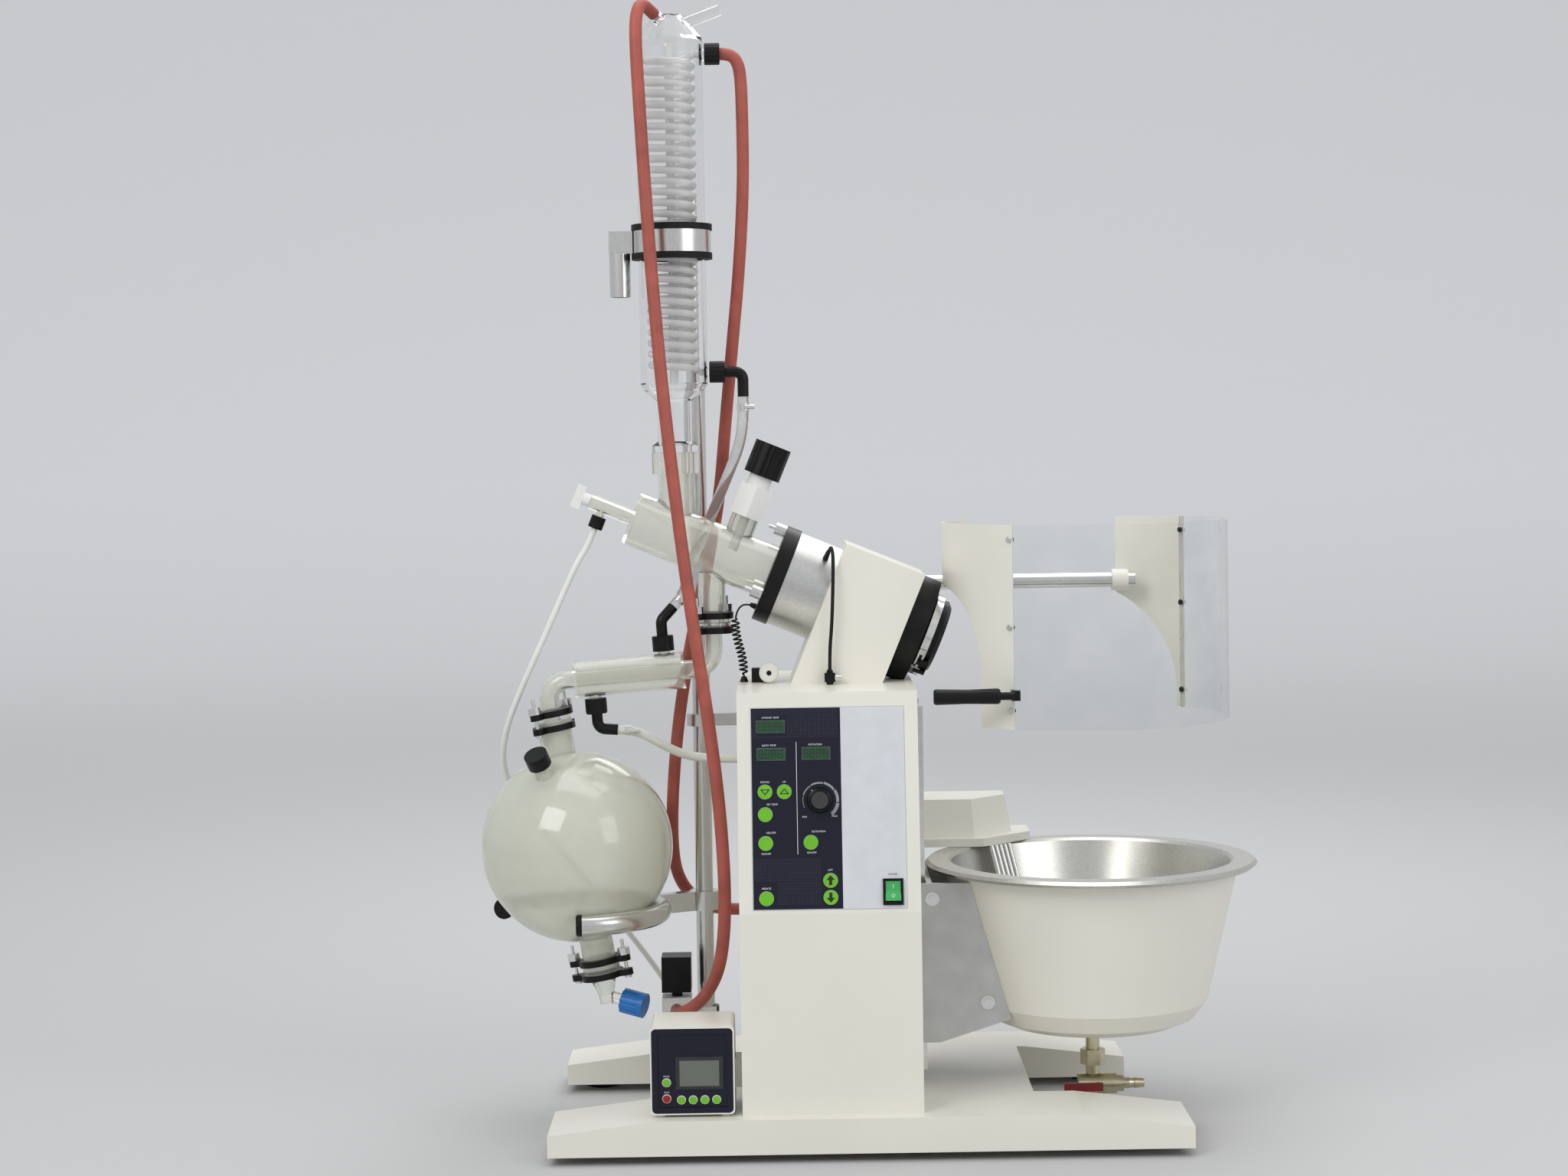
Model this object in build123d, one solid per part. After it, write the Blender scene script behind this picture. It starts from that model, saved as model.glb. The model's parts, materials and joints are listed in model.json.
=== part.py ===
from build123d import *
import os
from math import atan2, cos, degrees, hypot, pi, radians, sin, sqrt, tan

# Large rotary evaporator, millimetres, +Z up, +X towards the bath, front at -Y.
# The origin is on the floor under the middle of the machine.

# Fits
RUN_FIT = 0.05
SEAT_GAP = 0.3
SLIDE_GAP = 1.0

# Base: a front and a back leg joined by a wide bridge, on four rubber feet
FOOT_R = 26.0
FOOT_HEIGHT = 12.0
BASE_HEIGHT = 48.0
BASE_WALL = 4.0
BASE_DEPTH = 550.0
FRONT_LEG_LEFT = -450.0
FRONT_LEG_RIGHT = 430.0
BACK_LEG_LEFT = -455.0
BACK_LEG_RIGHT = 385.0
FRONT_LEG_DEPTH = 144.0
BACK_LEG_DEPTH = 110.0
BRIDGE_LEFT = -285.0
BRIDGE_RIGHT = 223.0
TOE_HEIGHT = 30.0
TOE_LENGTH = 150.0
FOOT_INSET = 50.0

# Tower cabinet on the front of the base
TOWER_LEFT = -184.5
TOWER_WIDTH = 248.0
TOWER_FRONT = -250.0
TOWER_BACK = 150.0
TOWER_TOP = 635.0
TOWER_BEND = 336.0
TOWER_LEAN = 40.0
TOWER_WALL = 3.0

# Control panel let into the leaning upper front
PANEL_WIDTH = 210.0
PANEL_HEIGHT = 275.0
PANEL_THICK = 3.0
PANEL_PROUD = 0.8
PANEL_SIDE_MARGIN = 19.0
PANEL_TOP_MARGIN = 21.0
KEY_R = 10.0
KEY_PROUD = 1.0
DISPLAY_WIDTH = 39.0
DISPLAY_HEIGHT = 17.0
DISPLAY_PROUD = 0.6
KNOB_SKIRT_R = 18.0
KNOB_CAP_R = 13.7
KNOB_HEIGHT = 20.0
KNOB_SKIRT_HEIGHT = 6.0
KNOB_STEM_R = 3.0
KNOB_LEFT = PANEL_WIDTH * 0.4429
KNOB_DOWN = PANEL_HEIGHT * 0.4618
SWITCH_WIDTH = 25.7
SWITCH_HEIGHT = 33.0
SWITCH_LEFT = PANEL_WIDTH - 19.0
SWITCH_DOWN = PANEL_HEIGHT - 23.0
SWITCH_FRAME = 4.0
ROCKER_PROUD = 2.5

# Drive axis: falls towards the bath
TILT = 22.5
HEAD_X = -116.5
HEAD_Z = 782.0
DRIVE_RING_R = 70.0
DRIVE_RING_LEN = 63.0
COVER_LEN = 120.0
COVER_HALF_DEPTH = 85.0
COVER_RISE = 81.0
COVER_WALL = 3.0
SHAFT_R = 30.0
SHAFT_BORE_R = 22.0
BEARING_R = 45.0
BEARING_LEN = 16.0
GUARD_LEN = 30.0
GUARD_R = 78.0
CLAMP_RING_LEN = 27.0
CLAMP_RING_R = 60.0
LATCH_TURN = 45.0
PULLEY_R = 48.0
PULLEY_LEN = 22.0
PULLEY_AT = 100.0
MOTOR_PULLEY_R = 18.0
MOTOR_DROP = 92.0
MOTOR_R = 32.0
MOTOR_LEN = 60.0
MOTOR_SHAFT_R = 6.0
BELT_THICK = 3.0

# Glass: vapour duct on the drive axis, condenser above, after-cooler and receiver below
GLASS_WALL = 4.0
DUCT_R = 39.0
DUCT_LEN = 236.0
FLANGE_LEN = 22.0
FLANGE_R = 72.0
DUCT_LIP_R = 48.0
CONDENSER_X = -270.0
NECK_R = 25.0
JOINT_Z = 965.0
JOINT_R = 34.0
JOINT_HEIGHT = 30.0
CONDENSER_R = 48.0
CONDENSER_BOTTOM = 1053.0
CONDENSER_TOP = 1568.0
COIL_R = 39.0
COIL_DEPTH = 5.0
COIL_TURNS = 14
COIL_BOTTOM = CONDENSER_BOTTOM + 22
COIL_TOP = CONDENSER_TOP - 23
PORT_LEVELS = (CONDENSER_BOTTOM + 27, CONDENSER_TOP - 33)
PORT_LEN = 14.0
OLIVE_LEN = 40.0
OLIVE_DIRECTION = (-0.465, -0.785, 0.407)
VENT_LEN = 78.0
INLET_AT = -84.0
INLET_R = 20.0
INLET_RISE = 62.0
OUTLET_R = 20.0
STOPCOCK_R = 11.0
STOPCOCK_LEN = 64.0
BRANCH_AT = -280.0
BRANCH_R = 6.0
BRANCH_LEN = 22.0
LIP_R = 27.0
LIP_THICK = 6.0
PORT_R = 9.0
NUT_R = 15.0
NUT_LEN = 22.0
ELBOW_R = 8.0
ELBOW_BEND = 12.0
COOLER_LEFT = -421.5
COOLER_LEN = 160.0
COOLER_LIFT = 58.8
COOLER_RISE = 4.0
COOLER_R = 27.0
COOLER_TUBE_R = 14.0
UPPER_JOINT_X = -221.0
UPPER_JOINT_Z = 719.0
RECEIVER_X = -421.5
RECEIVER_Z = 398.0
RECEIVER_R = 138.0
RECEIVER_LEAN = 10.0
RECEIVER_NECK_R = 24.0
RECEIVER_TOP_LEN = 186.0
RECEIVER_OUTLET_LEN = 180.0
CLAMP_R = 31.0
CLAMP_THICK = 9.0
CLAMP_EAR = 40.0
CLAMP_EAR_R = 8.0
CLAMP_TURN = 60.0
NECK_CAP_R = 17.0
NECK_CAP_LEN = 20.0
SIDE_NECK_R = 13.0
SIDE_NECK_LEN = 172.0
OUTLET_VALVE_LEN = 52.0
DRAIN_KNOB_R = 18.0
DRAIN_KNOB_LEN = 34.0
CLAMP_SCREW_R = 2.5

# Stand: pole behind the glass, its bracket, the receiver's cradle and the condenser's ring
POLE_X = -241.5
POLE_Y = 95.0
POLE_R = 13.0
POLE_TOP = 1336.0
POLE_BRACKET_Z = 570.0
CRADLE_TUBE_R = 15.0
CRADLE_Z = 302.0
CRADLE_START = -86.0
CRADLE_SWEEP = 246.0
RING_SHARE = 0.415534
RING_Z = CONDENSER_BOTTOM + (CONDENSER_TOP - CONDENSER_BOTTOM) * RING_SHARE
RING_HEIGHT = 50.0
RING_WALL = 8.0
LINER_HEIGHT = 9.0

# Bath on its lift
BATH_X = 320.5
BATH_RIM_R = 239.0
BATH_TOP_R = 212.0
BATH_FLOOR_R = 158.0
BATH_RIM_Z = 370.0
BATH_BOTTOM = 132.0
BATH_WALL = 2.5
TANK_WALL = 2.0
TANK_GAP = 14.0
LIFT_TRAVEL = 190.0
RAIL_Y = 60.0
RAIL_WIDTH = 20.0
RAIL_DEPTH = 14.0
ARM_Y = 104.0
ARM_THICK = 6.0
SPINDLE_R = 8.0
HEATER_R = 3.5
HEATER_COUNT = 5
HEATER_STEP = 9.0
HEATER_ANGLE = 130.0
HEATER_PLATE = 12.0
HEATER_CLEAR = 9.0
RIM_THICK = 9.0
BATH_CORNER = 36.0
DRAIN_R = 10.0
DRAIN_VALVE_R = 15.0
DRAIN_VALVE_Z = 40.0
RAIL_BOTTOM = 80.0
RAIL_TOP = 600.0
CARRIAGE_THICK = 8.0
ARM_LOW = 126.0
ARM_HIGH = 352.0
TONGUE = 12.0
SPINDLE_INSET = 34.0
LIFT_MOTOR_LEN = 50.0
LIFT_MOTOR_R = 30.0

# Splash shield over the flask's place
SHIELD_X = 318.0
SHIELD_R = 204.0
SHIELD_WALL = 3.0
SHIELD_BOTTOM = 574.0
SHIELD_TOP = 858.0
SHIELD_TUBE_R = 11.0
SHIELD_TUBE_Y = 150.0
SHIELD_TUBE_Z = 764.0
PANEL_SHEET = 2.0
WINDOW_START = -128.0
WINDOW_SWEEP = 168.0
LEFT_PANEL_START = 142.0
LEFT_PANEL_SWEEP = 93.0
RIGHT_PANEL_START = 38.0
RIGHT_PANEL_SWEEP = 33.0
LEFT_EDGE_Y = -128.0
RIGHT_EDGE_X = 150.0
KNUCKLE_LEN = 24.0
GRIP_R = 11.0
GRIP_LEN = 92.0
GRIP_Z = 623.0

# Vacuum controller beside the tower
CONTROL_WIDTH = 115.0
CONTROL_HEIGHT = 120.0
CONTROL_DEPTH = 105.0
CONTROL_GAP = 10.0
CONTROL_IN = 20.0
CONTROL_FOOT = 4.0
CONTROL_ROUND = 6.0
CONTROL_MARGIN = 8.0
CONTROL_KEY_R = 5.5

# Air-inlet valve and hoses
VALVE_OFFSET = 42.0
VALVE_BACK = 33.0
VALVE_SIZE = 43.0
VALVE_Z = 128.0
VALVE_HEIGHT = 38.0
COIL_BLOCK_Z = 174.0
COIL_BLOCK_HEIGHT = 52.0
SPIGOT_LEN = 6.0
HOSE_R = 9.0
BRAID_R = 8.0
THIN_HOSE_R = 6.5
FEED_TUBE_R = 4.5
LEAD_R = 2.5
COIL_CORD_R = 7.0
COIL_CORD_DROP = 52.0
COIL_CORD_Y = -30.0
LEAD_AT = 44.0
LEAD_TURN = 135.0
CORD_SHARE = 0.45

# Places worked out from the sizes above
TOWER_RIGHT = TOWER_LEFT + TOWER_WIDTH
BASE_TOP = FOOT_HEIGHT + BASE_HEIGHT
BASE_FRONT = -BASE_DEPTH / 2
CONTROL_FRONT = BASE_FRONT + CONTROL_IN
BASE_BACK = BASE_DEPTH / 2
LEAN = degrees(atan2(TOWER_LEAN, TOWER_TOP - TOWER_BEND))
AXIS = Vector(cos(radians(TILT)), 0, -sin(radians(TILT)))
DRIVE = Plane(origin=(HEAD_X, 0, HEAD_Z), x_dir=(0, 1, 0), z_dir=tuple(AXIS))
GUARD_START = DRIVE_RING_LEN + COVER_LEN
CLAMP_START = GUARD_START + GUARD_LEN + SLIDE_GAP
SHAFT_END = CLAMP_START + CLAMP_RING_LEN
FRONT = Plane(
    origin=(TOWER_LEFT, TOWER_FRONT + TOWER_LEAN, TOWER_TOP),
    x_dir=(1, 0, 0),
    z_dir=(0, -cos(radians(LEAN)), sin(radians(LEAN))),
)
PANEL = FRONT * Pos(PANEL_SIDE_MARGIN, -PANEL_TOP_MARGIN, 0)
RECEIVER = Plane(
    origin=(RECEIVER_X, 0, RECEIVER_Z),
    x_dir=(cos(radians(RECEIVER_LEAN)), 0, sin(radians(RECEIVER_LEAN))),
    z_dir=(-sin(radians(RECEIVER_LEAN)), 0, cos(radians(RECEIVER_LEAN))),
)
COOLER_Z = RECEIVER_Z + RECEIVER_TOP_LEN * cos(radians(RECEIVER_LEAN)) + COOLER_LIFT
COOLER = Plane(
    origin=(COOLER_LEFT, 0, COOLER_Z),
    x_dir=(0, 1, 0),
    z_dir=(cos(radians(COOLER_RISE)), 0, sin(radians(COOLER_RISE))),
)
LOW = (Align.CENTER, Align.CENTER, Align.MIN)
CORNER = (Align.MIN, Align.MIN, Align.MIN)



def rod(low, high, radius, bore=0):
    """A cylinder, or a tube, along local Z from low to high."""
    body = Pos(0, 0, low) * Cylinder(radius, high - low, align=LOW)
    if bore:
        body -= Pos(0, 0, low) * Cylinder(bore, high - low, align=LOW)
    return body


def block(x0, x1, y0, y1, z0, z1):
    """A box between two corners."""
    return Pos(x0, y0, z0) * Box(x1 - x0, y1 - y0, z1 - z0, align=CORNER)


def side_prism(points, y0, y1):
    """An X-Z outline carried along Y."""
    outline = Plane.XZ * make_face(Polyline(*points, close=True))
    return Pos(0, y0, 0) * extrude(outline, -(y1 - y0))


def turned(points):
    """A solid of revolution about Z from radius-height points."""
    return revolve(Plane.XZ * make_face(Polyline(*points, close=True)), Axis.Z)


def leg_outline(left, right, inset):
    """Front view of a leg: flat in the middle, falling to its toes."""
    low = FOOT_HEIGHT - inset
    top = BASE_TOP - inset
    toe = FOOT_HEIGHT + TOE_HEIGHT - inset
    if inset:
        low = FOOT_HEIGHT
    ends = (left + inset, right - inset)
    return [
        (ends[0], low),
        (ends[1], low),
        (ends[1], toe),
        (ends[1] - TOE_LENGTH, top),
        (ends[0] + TOE_LENGTH, top),
        (ends[0], toe),
    ]


def foot_places():
    """Centres of the four feet."""
    front = BASE_FRONT + FRONT_LEG_DEPTH / 2
    back = BASE_BACK - BACK_LEG_DEPTH / 2
    return [
        (FRONT_LEG_LEFT + FOOT_INSET, front),
        (FRONT_LEG_RIGHT - FOOT_INSET, front),
        (BACK_LEG_LEFT + FOOT_INSET, back),
        (BACK_LEG_RIGHT - FOOT_INSET, back),
    ]


def base():
    """Pressed base tray, open below, with a boss over each foot."""
    front_back = BASE_FRONT + FRONT_LEG_DEPTH
    back_front = BASE_BACK - BACK_LEG_DEPTH
    front = side_prism(leg_outline(FRONT_LEG_LEFT, FRONT_LEG_RIGHT, 0), BASE_FRONT, front_back)
    back = side_prism(leg_outline(BACK_LEG_LEFT, BACK_LEG_RIGHT, 0), back_front, BASE_BACK)
    bridge = block(BRIDGE_LEFT, BRIDGE_RIGHT, front_back, back_front, FOOT_HEIGHT, BASE_TOP)
    body = front + back + bridge
    wall = BASE_WALL
    hollow = side_prism(
        leg_outline(FRONT_LEG_LEFT, FRONT_LEG_RIGHT, wall), BASE_FRONT + wall, front_back - wall
    )
    hollow += side_prism(
        leg_outline(BACK_LEG_LEFT, BACK_LEG_RIGHT, wall), back_front + wall, BASE_BACK - wall
    )
    hollow += block(
        BRIDGE_LEFT + wall, BRIDGE_RIGHT - wall, front_back - wall, back_front + wall,
        FOOT_HEIGHT, BASE_TOP - wall,
    )
    for x, y in foot_places():
        hollow -= Pos(x, y, 0) * rod(0, BASE_TOP, FOOT_R - wall)
    return body - hollow


def base_feet():
    """Four rubber feet under the bosses."""
    pads = []
    for x, y in foot_places():
        pad = turned([
            (0, 0), (FOOT_R - 2, 0), (FOOT_R, 2), (FOOT_R - 3, FOOT_HEIGHT), (0, FOOT_HEIGHT),
        ])
        pads.append(Pos(x, y, 0) * pad)
    return pads


def wall_prism(points, x0, x1):
    """A Y-Z outline carried along X."""
    outline = Plane.YZ * make_face(Polyline(*points, close=True))
    return Pos(x0, 0, 0) * extrude(outline, x1 - x0)


def axis_point(along, above):
    """X and Z of a point at a distance along the drive axis and above it."""
    tilt = radians(TILT)
    x = HEAD_X + along * cos(tilt) + above * sin(tilt)
    z = HEAD_Z - along * sin(tilt) + above * cos(tilt)
    return (x, z)


def axis_foot(along, level):
    """Where a line square to the drive axis comes down to a level."""
    tilt = radians(TILT)
    drop = (HEAD_Z - along * sin(tilt) - level) / cos(tilt)
    return axis_point(along, -drop)


def panel_box(left, down, width, height, low, high):
    """A box on the control panel about a centre measured from its upper left corner."""
    return PANEL * Pos(left, -down, low) * Box(width, height, high - low, align=LOW)


def tower_outline(inset, floor):
    """Side view of the tower: upright below, leaning back above the bend."""
    front = TOWER_FRONT + inset
    return [
        (front, floor),
        (front, TOWER_BEND),
        (front + TOWER_LEAN, TOWER_TOP - inset),
        (TOWER_BACK - inset, TOWER_TOP - inset),
        (TOWER_BACK - inset, floor),
    ]


def tower_housing():
    """Sheet cabinet, open below, with the panel's recess and the drive's opening on top."""
    body = wall_prism(tower_outline(0, BASE_TOP), TOWER_LEFT, TOWER_RIGHT)
    body -= wall_prism(
        tower_outline(TOWER_WALL, BASE_TOP), TOWER_LEFT + TOWER_WALL, TOWER_RIGHT - TOWER_WALL
    )
    recess = PANEL_THICK - PANEL_PROUD
    body -= panel_box(
        PANEL_WIDTH / 2, PANEL_HEIGHT / 2,
        PANEL_WIDTH + 2 * SEAT_GAP, PANEL_HEIGHT + 2 * SEAT_GAP, -recess, recess,
    )
    body -= switch_well()
    body -= spindle_slot()
    left = axis_foot(DRIVE_RING_LEN, TOWER_TOP)[0] + 2 * COVER_WALL
    right = axis_foot(GUARD_START, TOWER_TOP)[0] - 2 * COVER_WALL
    body -= block(
        left, right, -MOTOR_R * 1.8, MOTOR_R * 1.8, TOWER_TOP - 2 * TOWER_WALL, TOWER_TOP + TOWER_WALL
    )
    return body


def switch_well():
    """Room behind the rocker, through the panel and the tower's wall."""
    return panel_box(
        SWITCH_LEFT, SWITCH_DOWN, SWITCH_WIDTH - SWITCH_FRAME, SWITCH_HEIGHT - SWITCH_FRAME,
        -3 * TOWER_WALL, 3 * TOWER_WALL,
    )


def control_panel():
    """Flat overlay plate in the tower's recess."""
    plate = panel_box(
        PANEL_WIDTH / 2, PANEL_HEIGHT / 2, PANEL_WIDTH, PANEL_HEIGHT,
        PANEL_PROUD - PANEL_THICK, PANEL_PROUD,
    )
    plate += switch_bezel()
    for raised in membrane_keys() + display_windows():
        plate += raised
    hole = rod(PANEL_PROUD - PANEL_THICK, PANEL_PROUD, KNOB_STEM_R + RUN_FIT)
    plate -= PANEL * Pos(KNOB_LEFT, -KNOB_DOWN, 0) * hole
    return plate - switch_well()


def membrane_keys():
    """Eight round keys under the overlay."""
    shares = [
        (0.0876, 0.4171), (0.2133, 0.4171), (0.0876, 0.5291), (0.0876, 0.6713),
        (0.381, 0.6691), (0.0876, 0.9436), (0.5048, 0.8582), (0.5048, 0.9418),
    ]
    key = Cylinder(KEY_R, KEY_PROUD, align=LOW)
    return [
        PANEL * Pos(PANEL_WIDTH * across, -PANEL_HEIGHT * down, PANEL_PROUD) * key
        for across, down in shares
    ]


def display_windows():
    """Three read-out windows."""
    shares = [(0.1286, 0.0935), (0.131, 0.2309), (0.4238, 0.2291)]
    return [
        panel_box(
            PANEL_WIDTH * across, PANEL_HEIGHT * down, DISPLAY_WIDTH, DISPLAY_HEIGHT,
            PANEL_PROUD, PANEL_PROUD + DISPLAY_PROUD,
        )
        for across, down in shares
    ]


def speed_knob():
    """Skirted knob with a finger cap and a pointer groove."""
    low = PANEL_PROUD + SEAT_GAP
    shoulder = low + KNOB_SKIRT_HEIGHT
    body = turned([
        (0, low), (KNOB_SKIRT_R, low), (KNOB_SKIRT_R - 1.5, shoulder),
        (KNOB_CAP_R, shoulder + 1), (KNOB_CAP_R - 1, KNOB_HEIGHT), (0, KNOB_HEIGHT),
    ])
    body += rod(PANEL_PROUD - PANEL_THICK, low, KNOB_STEM_R)
    groove = Pos(0, KNOB_SKIRT_R - 2, shoulder) * Box(1.2, 5, 3)
    return PANEL * Pos(KNOB_LEFT, -KNOB_DOWN, 0) * (body - groove)


def switch_bezel():
    """Frame of the mains switch on the panel."""
    outer = panel_box(
        SWITCH_LEFT, SWITCH_DOWN, SWITCH_WIDTH, SWITCH_HEIGHT, PANEL_PROUD, PANEL_PROUD + ROCKER_PROUD
    )
    return outer - switch_well()


def rocker_switch():
    """Rocker with two slanting faces, turned to its off side."""
    half = (SWITCH_HEIGHT - SWITCH_FRAME) / 2 - 1.2
    width = SWITCH_WIDTH - SWITCH_FRAME - 2 * SEAT_GAP
    crest = PANEL_PROUD + ROCKER_PROUD
    outline = Plane.YZ * make_face(Polyline(
        (-half, -ROCKER_PROUD), (half, -ROCKER_PROUD), (half, crest + 1.6), (0, crest - 0.6),
        (-half, crest + 1.6), close=True,
    ))
    body = Pos(-width / 2, 0, 0) * extrude(outline, width)
    return PANEL * Pos(SWITCH_LEFT, -SWITCH_DOWN, 0) * Rot(-7, 0, 0) * body


def cover_outline(inset, level):
    """Side view of the head cover, square to the drive axis at both ends."""
    rise = COVER_RISE - inset
    ends = (DRIVE_RING_LEN + inset, GUARD_START - inset)
    return [
        axis_foot(ends[0], level), axis_point(ends[0], rise),
        axis_point(ends[1], rise), axis_foot(ends[1], level),
    ]


def head_cover():
    """Folded cover over the drive, open to the tower below."""
    body = side_prism(cover_outline(0, TOWER_TOP), -COVER_HALF_DEPTH, COVER_HALF_DEPTH)
    inner = COVER_HALF_DEPTH - COVER_WALL
    body -= side_prism(cover_outline(COVER_WALL, TOWER_TOP - COVER_WALL), -inner, inner)
    return body - DRIVE * rod(0, SHAFT_END, SHAFT_R + SLIDE_GAP)


def drive_ring():
    """Turned aluminium bearing housing with the front bearing's seat."""
    body = rod(0, DRIVE_RING_LEN, DRIVE_RING_R, SHAFT_R + SLIDE_GAP)
    body -= rod(0, BEARING_LEN, BEARING_R)
    return DRIVE * body


def coupling_guard():
    """Black guard on the lower face of the cover, with the rear bearing's seat."""
    body = rod(GUARD_START, GUARD_START + GUARD_LEN, GUARD_R, SHAFT_R + SLIDE_GAP)
    body -= rod(GUARD_START, GUARD_START + BEARING_LEN, BEARING_R)
    low = block(
        HEAD_X, TOWER_RIGHT + GUARD_R, -2 * GUARD_R, 2 * GUARD_R, 0, TOWER_TOP + SEAT_GAP
    )
    return DRIVE * body - low


def shaft_bearings():
    """Two ball-bearing rings on the hollow shaft."""
    starts = (0, GUARD_START)
    return [
        DRIVE * rod(start, start + BEARING_LEN, BEARING_R, SHAFT_R + RUN_FIT) for start in starts
    ]


def hollow_shaft():
    """Drive tube that carries the flask and leads the vapour out."""
    return DRIVE * rod(SEAT_GAP, SHAFT_END, SHAFT_R, SHAFT_BORE_R)


def flask_clamp():
    """Clamp ring at the shaft's end, with a rolled outer edge."""
    mid = CLAMP_START + CLAMP_RING_LEN / 2
    ring = turned([
        (SHAFT_R, CLAMP_START), (CLAMP_RING_R - 8, CLAMP_START), (CLAMP_RING_R, CLAMP_START + 7),
        (CLAMP_RING_R, mid), (CLAMP_RING_R - 5, mid + 1), (CLAMP_RING_R - 5, SHAFT_END - 6),
        (CLAMP_RING_R - 12, SHAFT_END), (SHAFT_R, SHAFT_END),
    ])
    return [DRIVE * ring, clamp_latch()]


def clamp_latch():
    """Over-centre latch on the clamp ring."""
    mid = CLAMP_START + CLAMP_RING_LEN / 2
    body = Pos(0, -CLAMP_RING_R - 3, mid) * Box(24, 6, CLAMP_RING_LEN - 10)
    body -= Pos(0, -CLAMP_RING_R - 5, mid) * Box(10, 6, CLAMP_RING_LEN)
    body -= rod(CLAMP_START, SHAFT_END, CLAMP_RING_R)
    return DRIVE * Rot(0, 0, -LATCH_TURN) * body


def drive_pulley():
    """Belt pulley on the hollow shaft."""
    low = PULLEY_AT - PULLEY_LEN / 2
    return DRIVE * rod(low, low + PULLEY_LEN, PULLEY_R, SHAFT_R)


def motor_place():
    """The motor's axis, below the drive axis and parallel to it."""
    return DRIVE * Pos(*motor_offset())


def motor_offset():
    """Offset of the motor's axis in the drive frame, which has its second axis upward."""
    up = DRIVE.y_dir.Z
    return (0, -MOTOR_DROP if up > 0 else MOTOR_DROP, 0)


def motor_pulley():
    """Small pulley on the motor's shaft."""
    low = PULLEY_AT - PULLEY_LEN / 2
    return motor_place() * rod(low, low + PULLEY_LEN, MOTOR_PULLEY_R, MOTOR_SHAFT_R + RUN_FIT)


def drive_motor():
    """Motor with its shaft and a foot on the cover's side."""
    low = PULLEY_AT - PULLEY_LEN / 2
    start = PULLEY_AT + PULLEY_LEN / 2 + SLIDE_GAP
    body = rod(low, start, MOTOR_SHAFT_R) + rod(start, start + MOTOR_LEN, MOTOR_R)
    reach = COVER_HALF_DEPTH - COVER_WALL
    foot = Pos(reach / 2, -motor_offset()[1] / abs(motor_offset()[1]) * 10, start + MOTOR_LEN / 2)
    body += foot * Box(reach, 16, MOTOR_LEN - 14)
    return motor_place() * body


def drive_belt():
    """Flat belt round both pulleys."""
    low = PULLEY_AT - PULLEY_LEN / 2 + 2
    width = PULLEY_LEN - 4
    loops = []
    for extra in (SEAT_GAP + BELT_THICK, SEAT_GAP):
        rings = Circle(PULLEY_R + extra).edges() + (
            Pos(*motor_offset()) * Circle(MOTOR_PULLEY_R + extra)
        ).edges()
        loops.append(make_hull(rings))
    band = extrude(loops[0], width) - extrude(loops[1], width)
    return DRIVE * Pos(0, 0, low) * band


def duct_cavity(shrink):
    """The vapour duct's body and necks, made smaller by a wall."""
    neck_foot = HEAD_Z + (HEAD_X - CONDENSER_X) * tan(radians(TILT))
    outlet_foot = HEAD_Z + (HEAD_X - UPPER_JOINT_X) * tan(radians(TILT))
    body = DRIVE * rod(-DUCT_LEN + shrink, 0, DUCT_R - shrink)
    body += Pos(CONDENSER_X, 0, 0) * rod(neck_foot, JOINT_Z, NECK_R - shrink)
    body += Pos(UPPER_JOINT_X, 0, 0) * rod(UPPER_JOINT_Z, outlet_foot, OUTLET_R - shrink)
    body += inlet_place() * rod(0, INLET_RISE, INLET_R - shrink)
    return body


def inlet_place():
    """The feed valve's axis, square to the drive axis."""
    x, z = axis_point(INLET_AT, 0)
    up = axis_point(INLET_AT, 1)
    return Plane(origin=(x, 0, z), x_dir=(0, 1, 0), z_dir=(up[0] - x, 0, up[1] - z))


def vapour_duct():
    """Glass tee between the drive, the condenser, the feed valve and the after-cooler."""
    body = duct_cavity(0)
    body += DRIVE * rod(-FLANGE_LEN / 2, 0, DUCT_LIP_R)
    body += Pos(CONDENSER_X, 0, 0) * rod(JOINT_Z - JOINT_HEIGHT, JOINT_Z, JOINT_R)
    body += Pos(UPPER_JOINT_X, 0, 0) * rod(UPPER_JOINT_Z, UPPER_JOINT_Z + LIP_THICK, LIP_R)
    body += DRIVE * rod(-DUCT_LEN - STOPCOCK_LEN, -DUCT_LEN, STOPCOCK_R)
    body += branch_place() * rod(0, BRANCH_LEN, BRANCH_R)
    body -= branch_place() * rod(0, BRANCH_LEN, BRANCH_R - 2)
    body -= duct_cavity(GLASS_WALL)
    return body - DRIVE * rod(-DUCT_LEN - STOPCOCK_LEN, -DUCT_LEN + 2 * GLASS_WALL, STOPCOCK_R - GLASS_WALL)


def duct_flange():
    """Black clamp ring that holds the duct's lip to the drive."""
    body = rod(-FLANGE_LEN, 0, FLANGE_R)
    body -= rod(-FLANGE_LEN, 0, DUCT_R + SEAT_GAP)
    body -= rod(-FLANGE_LEN / 2, 0, DUCT_LIP_R + SEAT_GAP)
    for turn in range(3):
        body -= Rot(0, 0, 90 + 120 * turn) * Pos(FLANGE_R - 10, 0, 0) * rod(-FLANGE_LEN, 0, CLAMP_SCREW_R)
    return DRIVE * body


def flange_screws():
    """Three studs with knurled nuts on the duct's clamp ring."""
    screws = []
    for turn in range(3):
        stud = rod(-FLANGE_LEN - 26, 0, CLAMP_SCREW_R) + rod(-FLANGE_LEN - 16, -FLANGE_LEN, 9)
        screws.append(DRIVE * Rot(0, 0, 90 + 120 * turn) * Pos(FLANGE_R - 10, 0, 0) * stud)
    return screws


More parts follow.
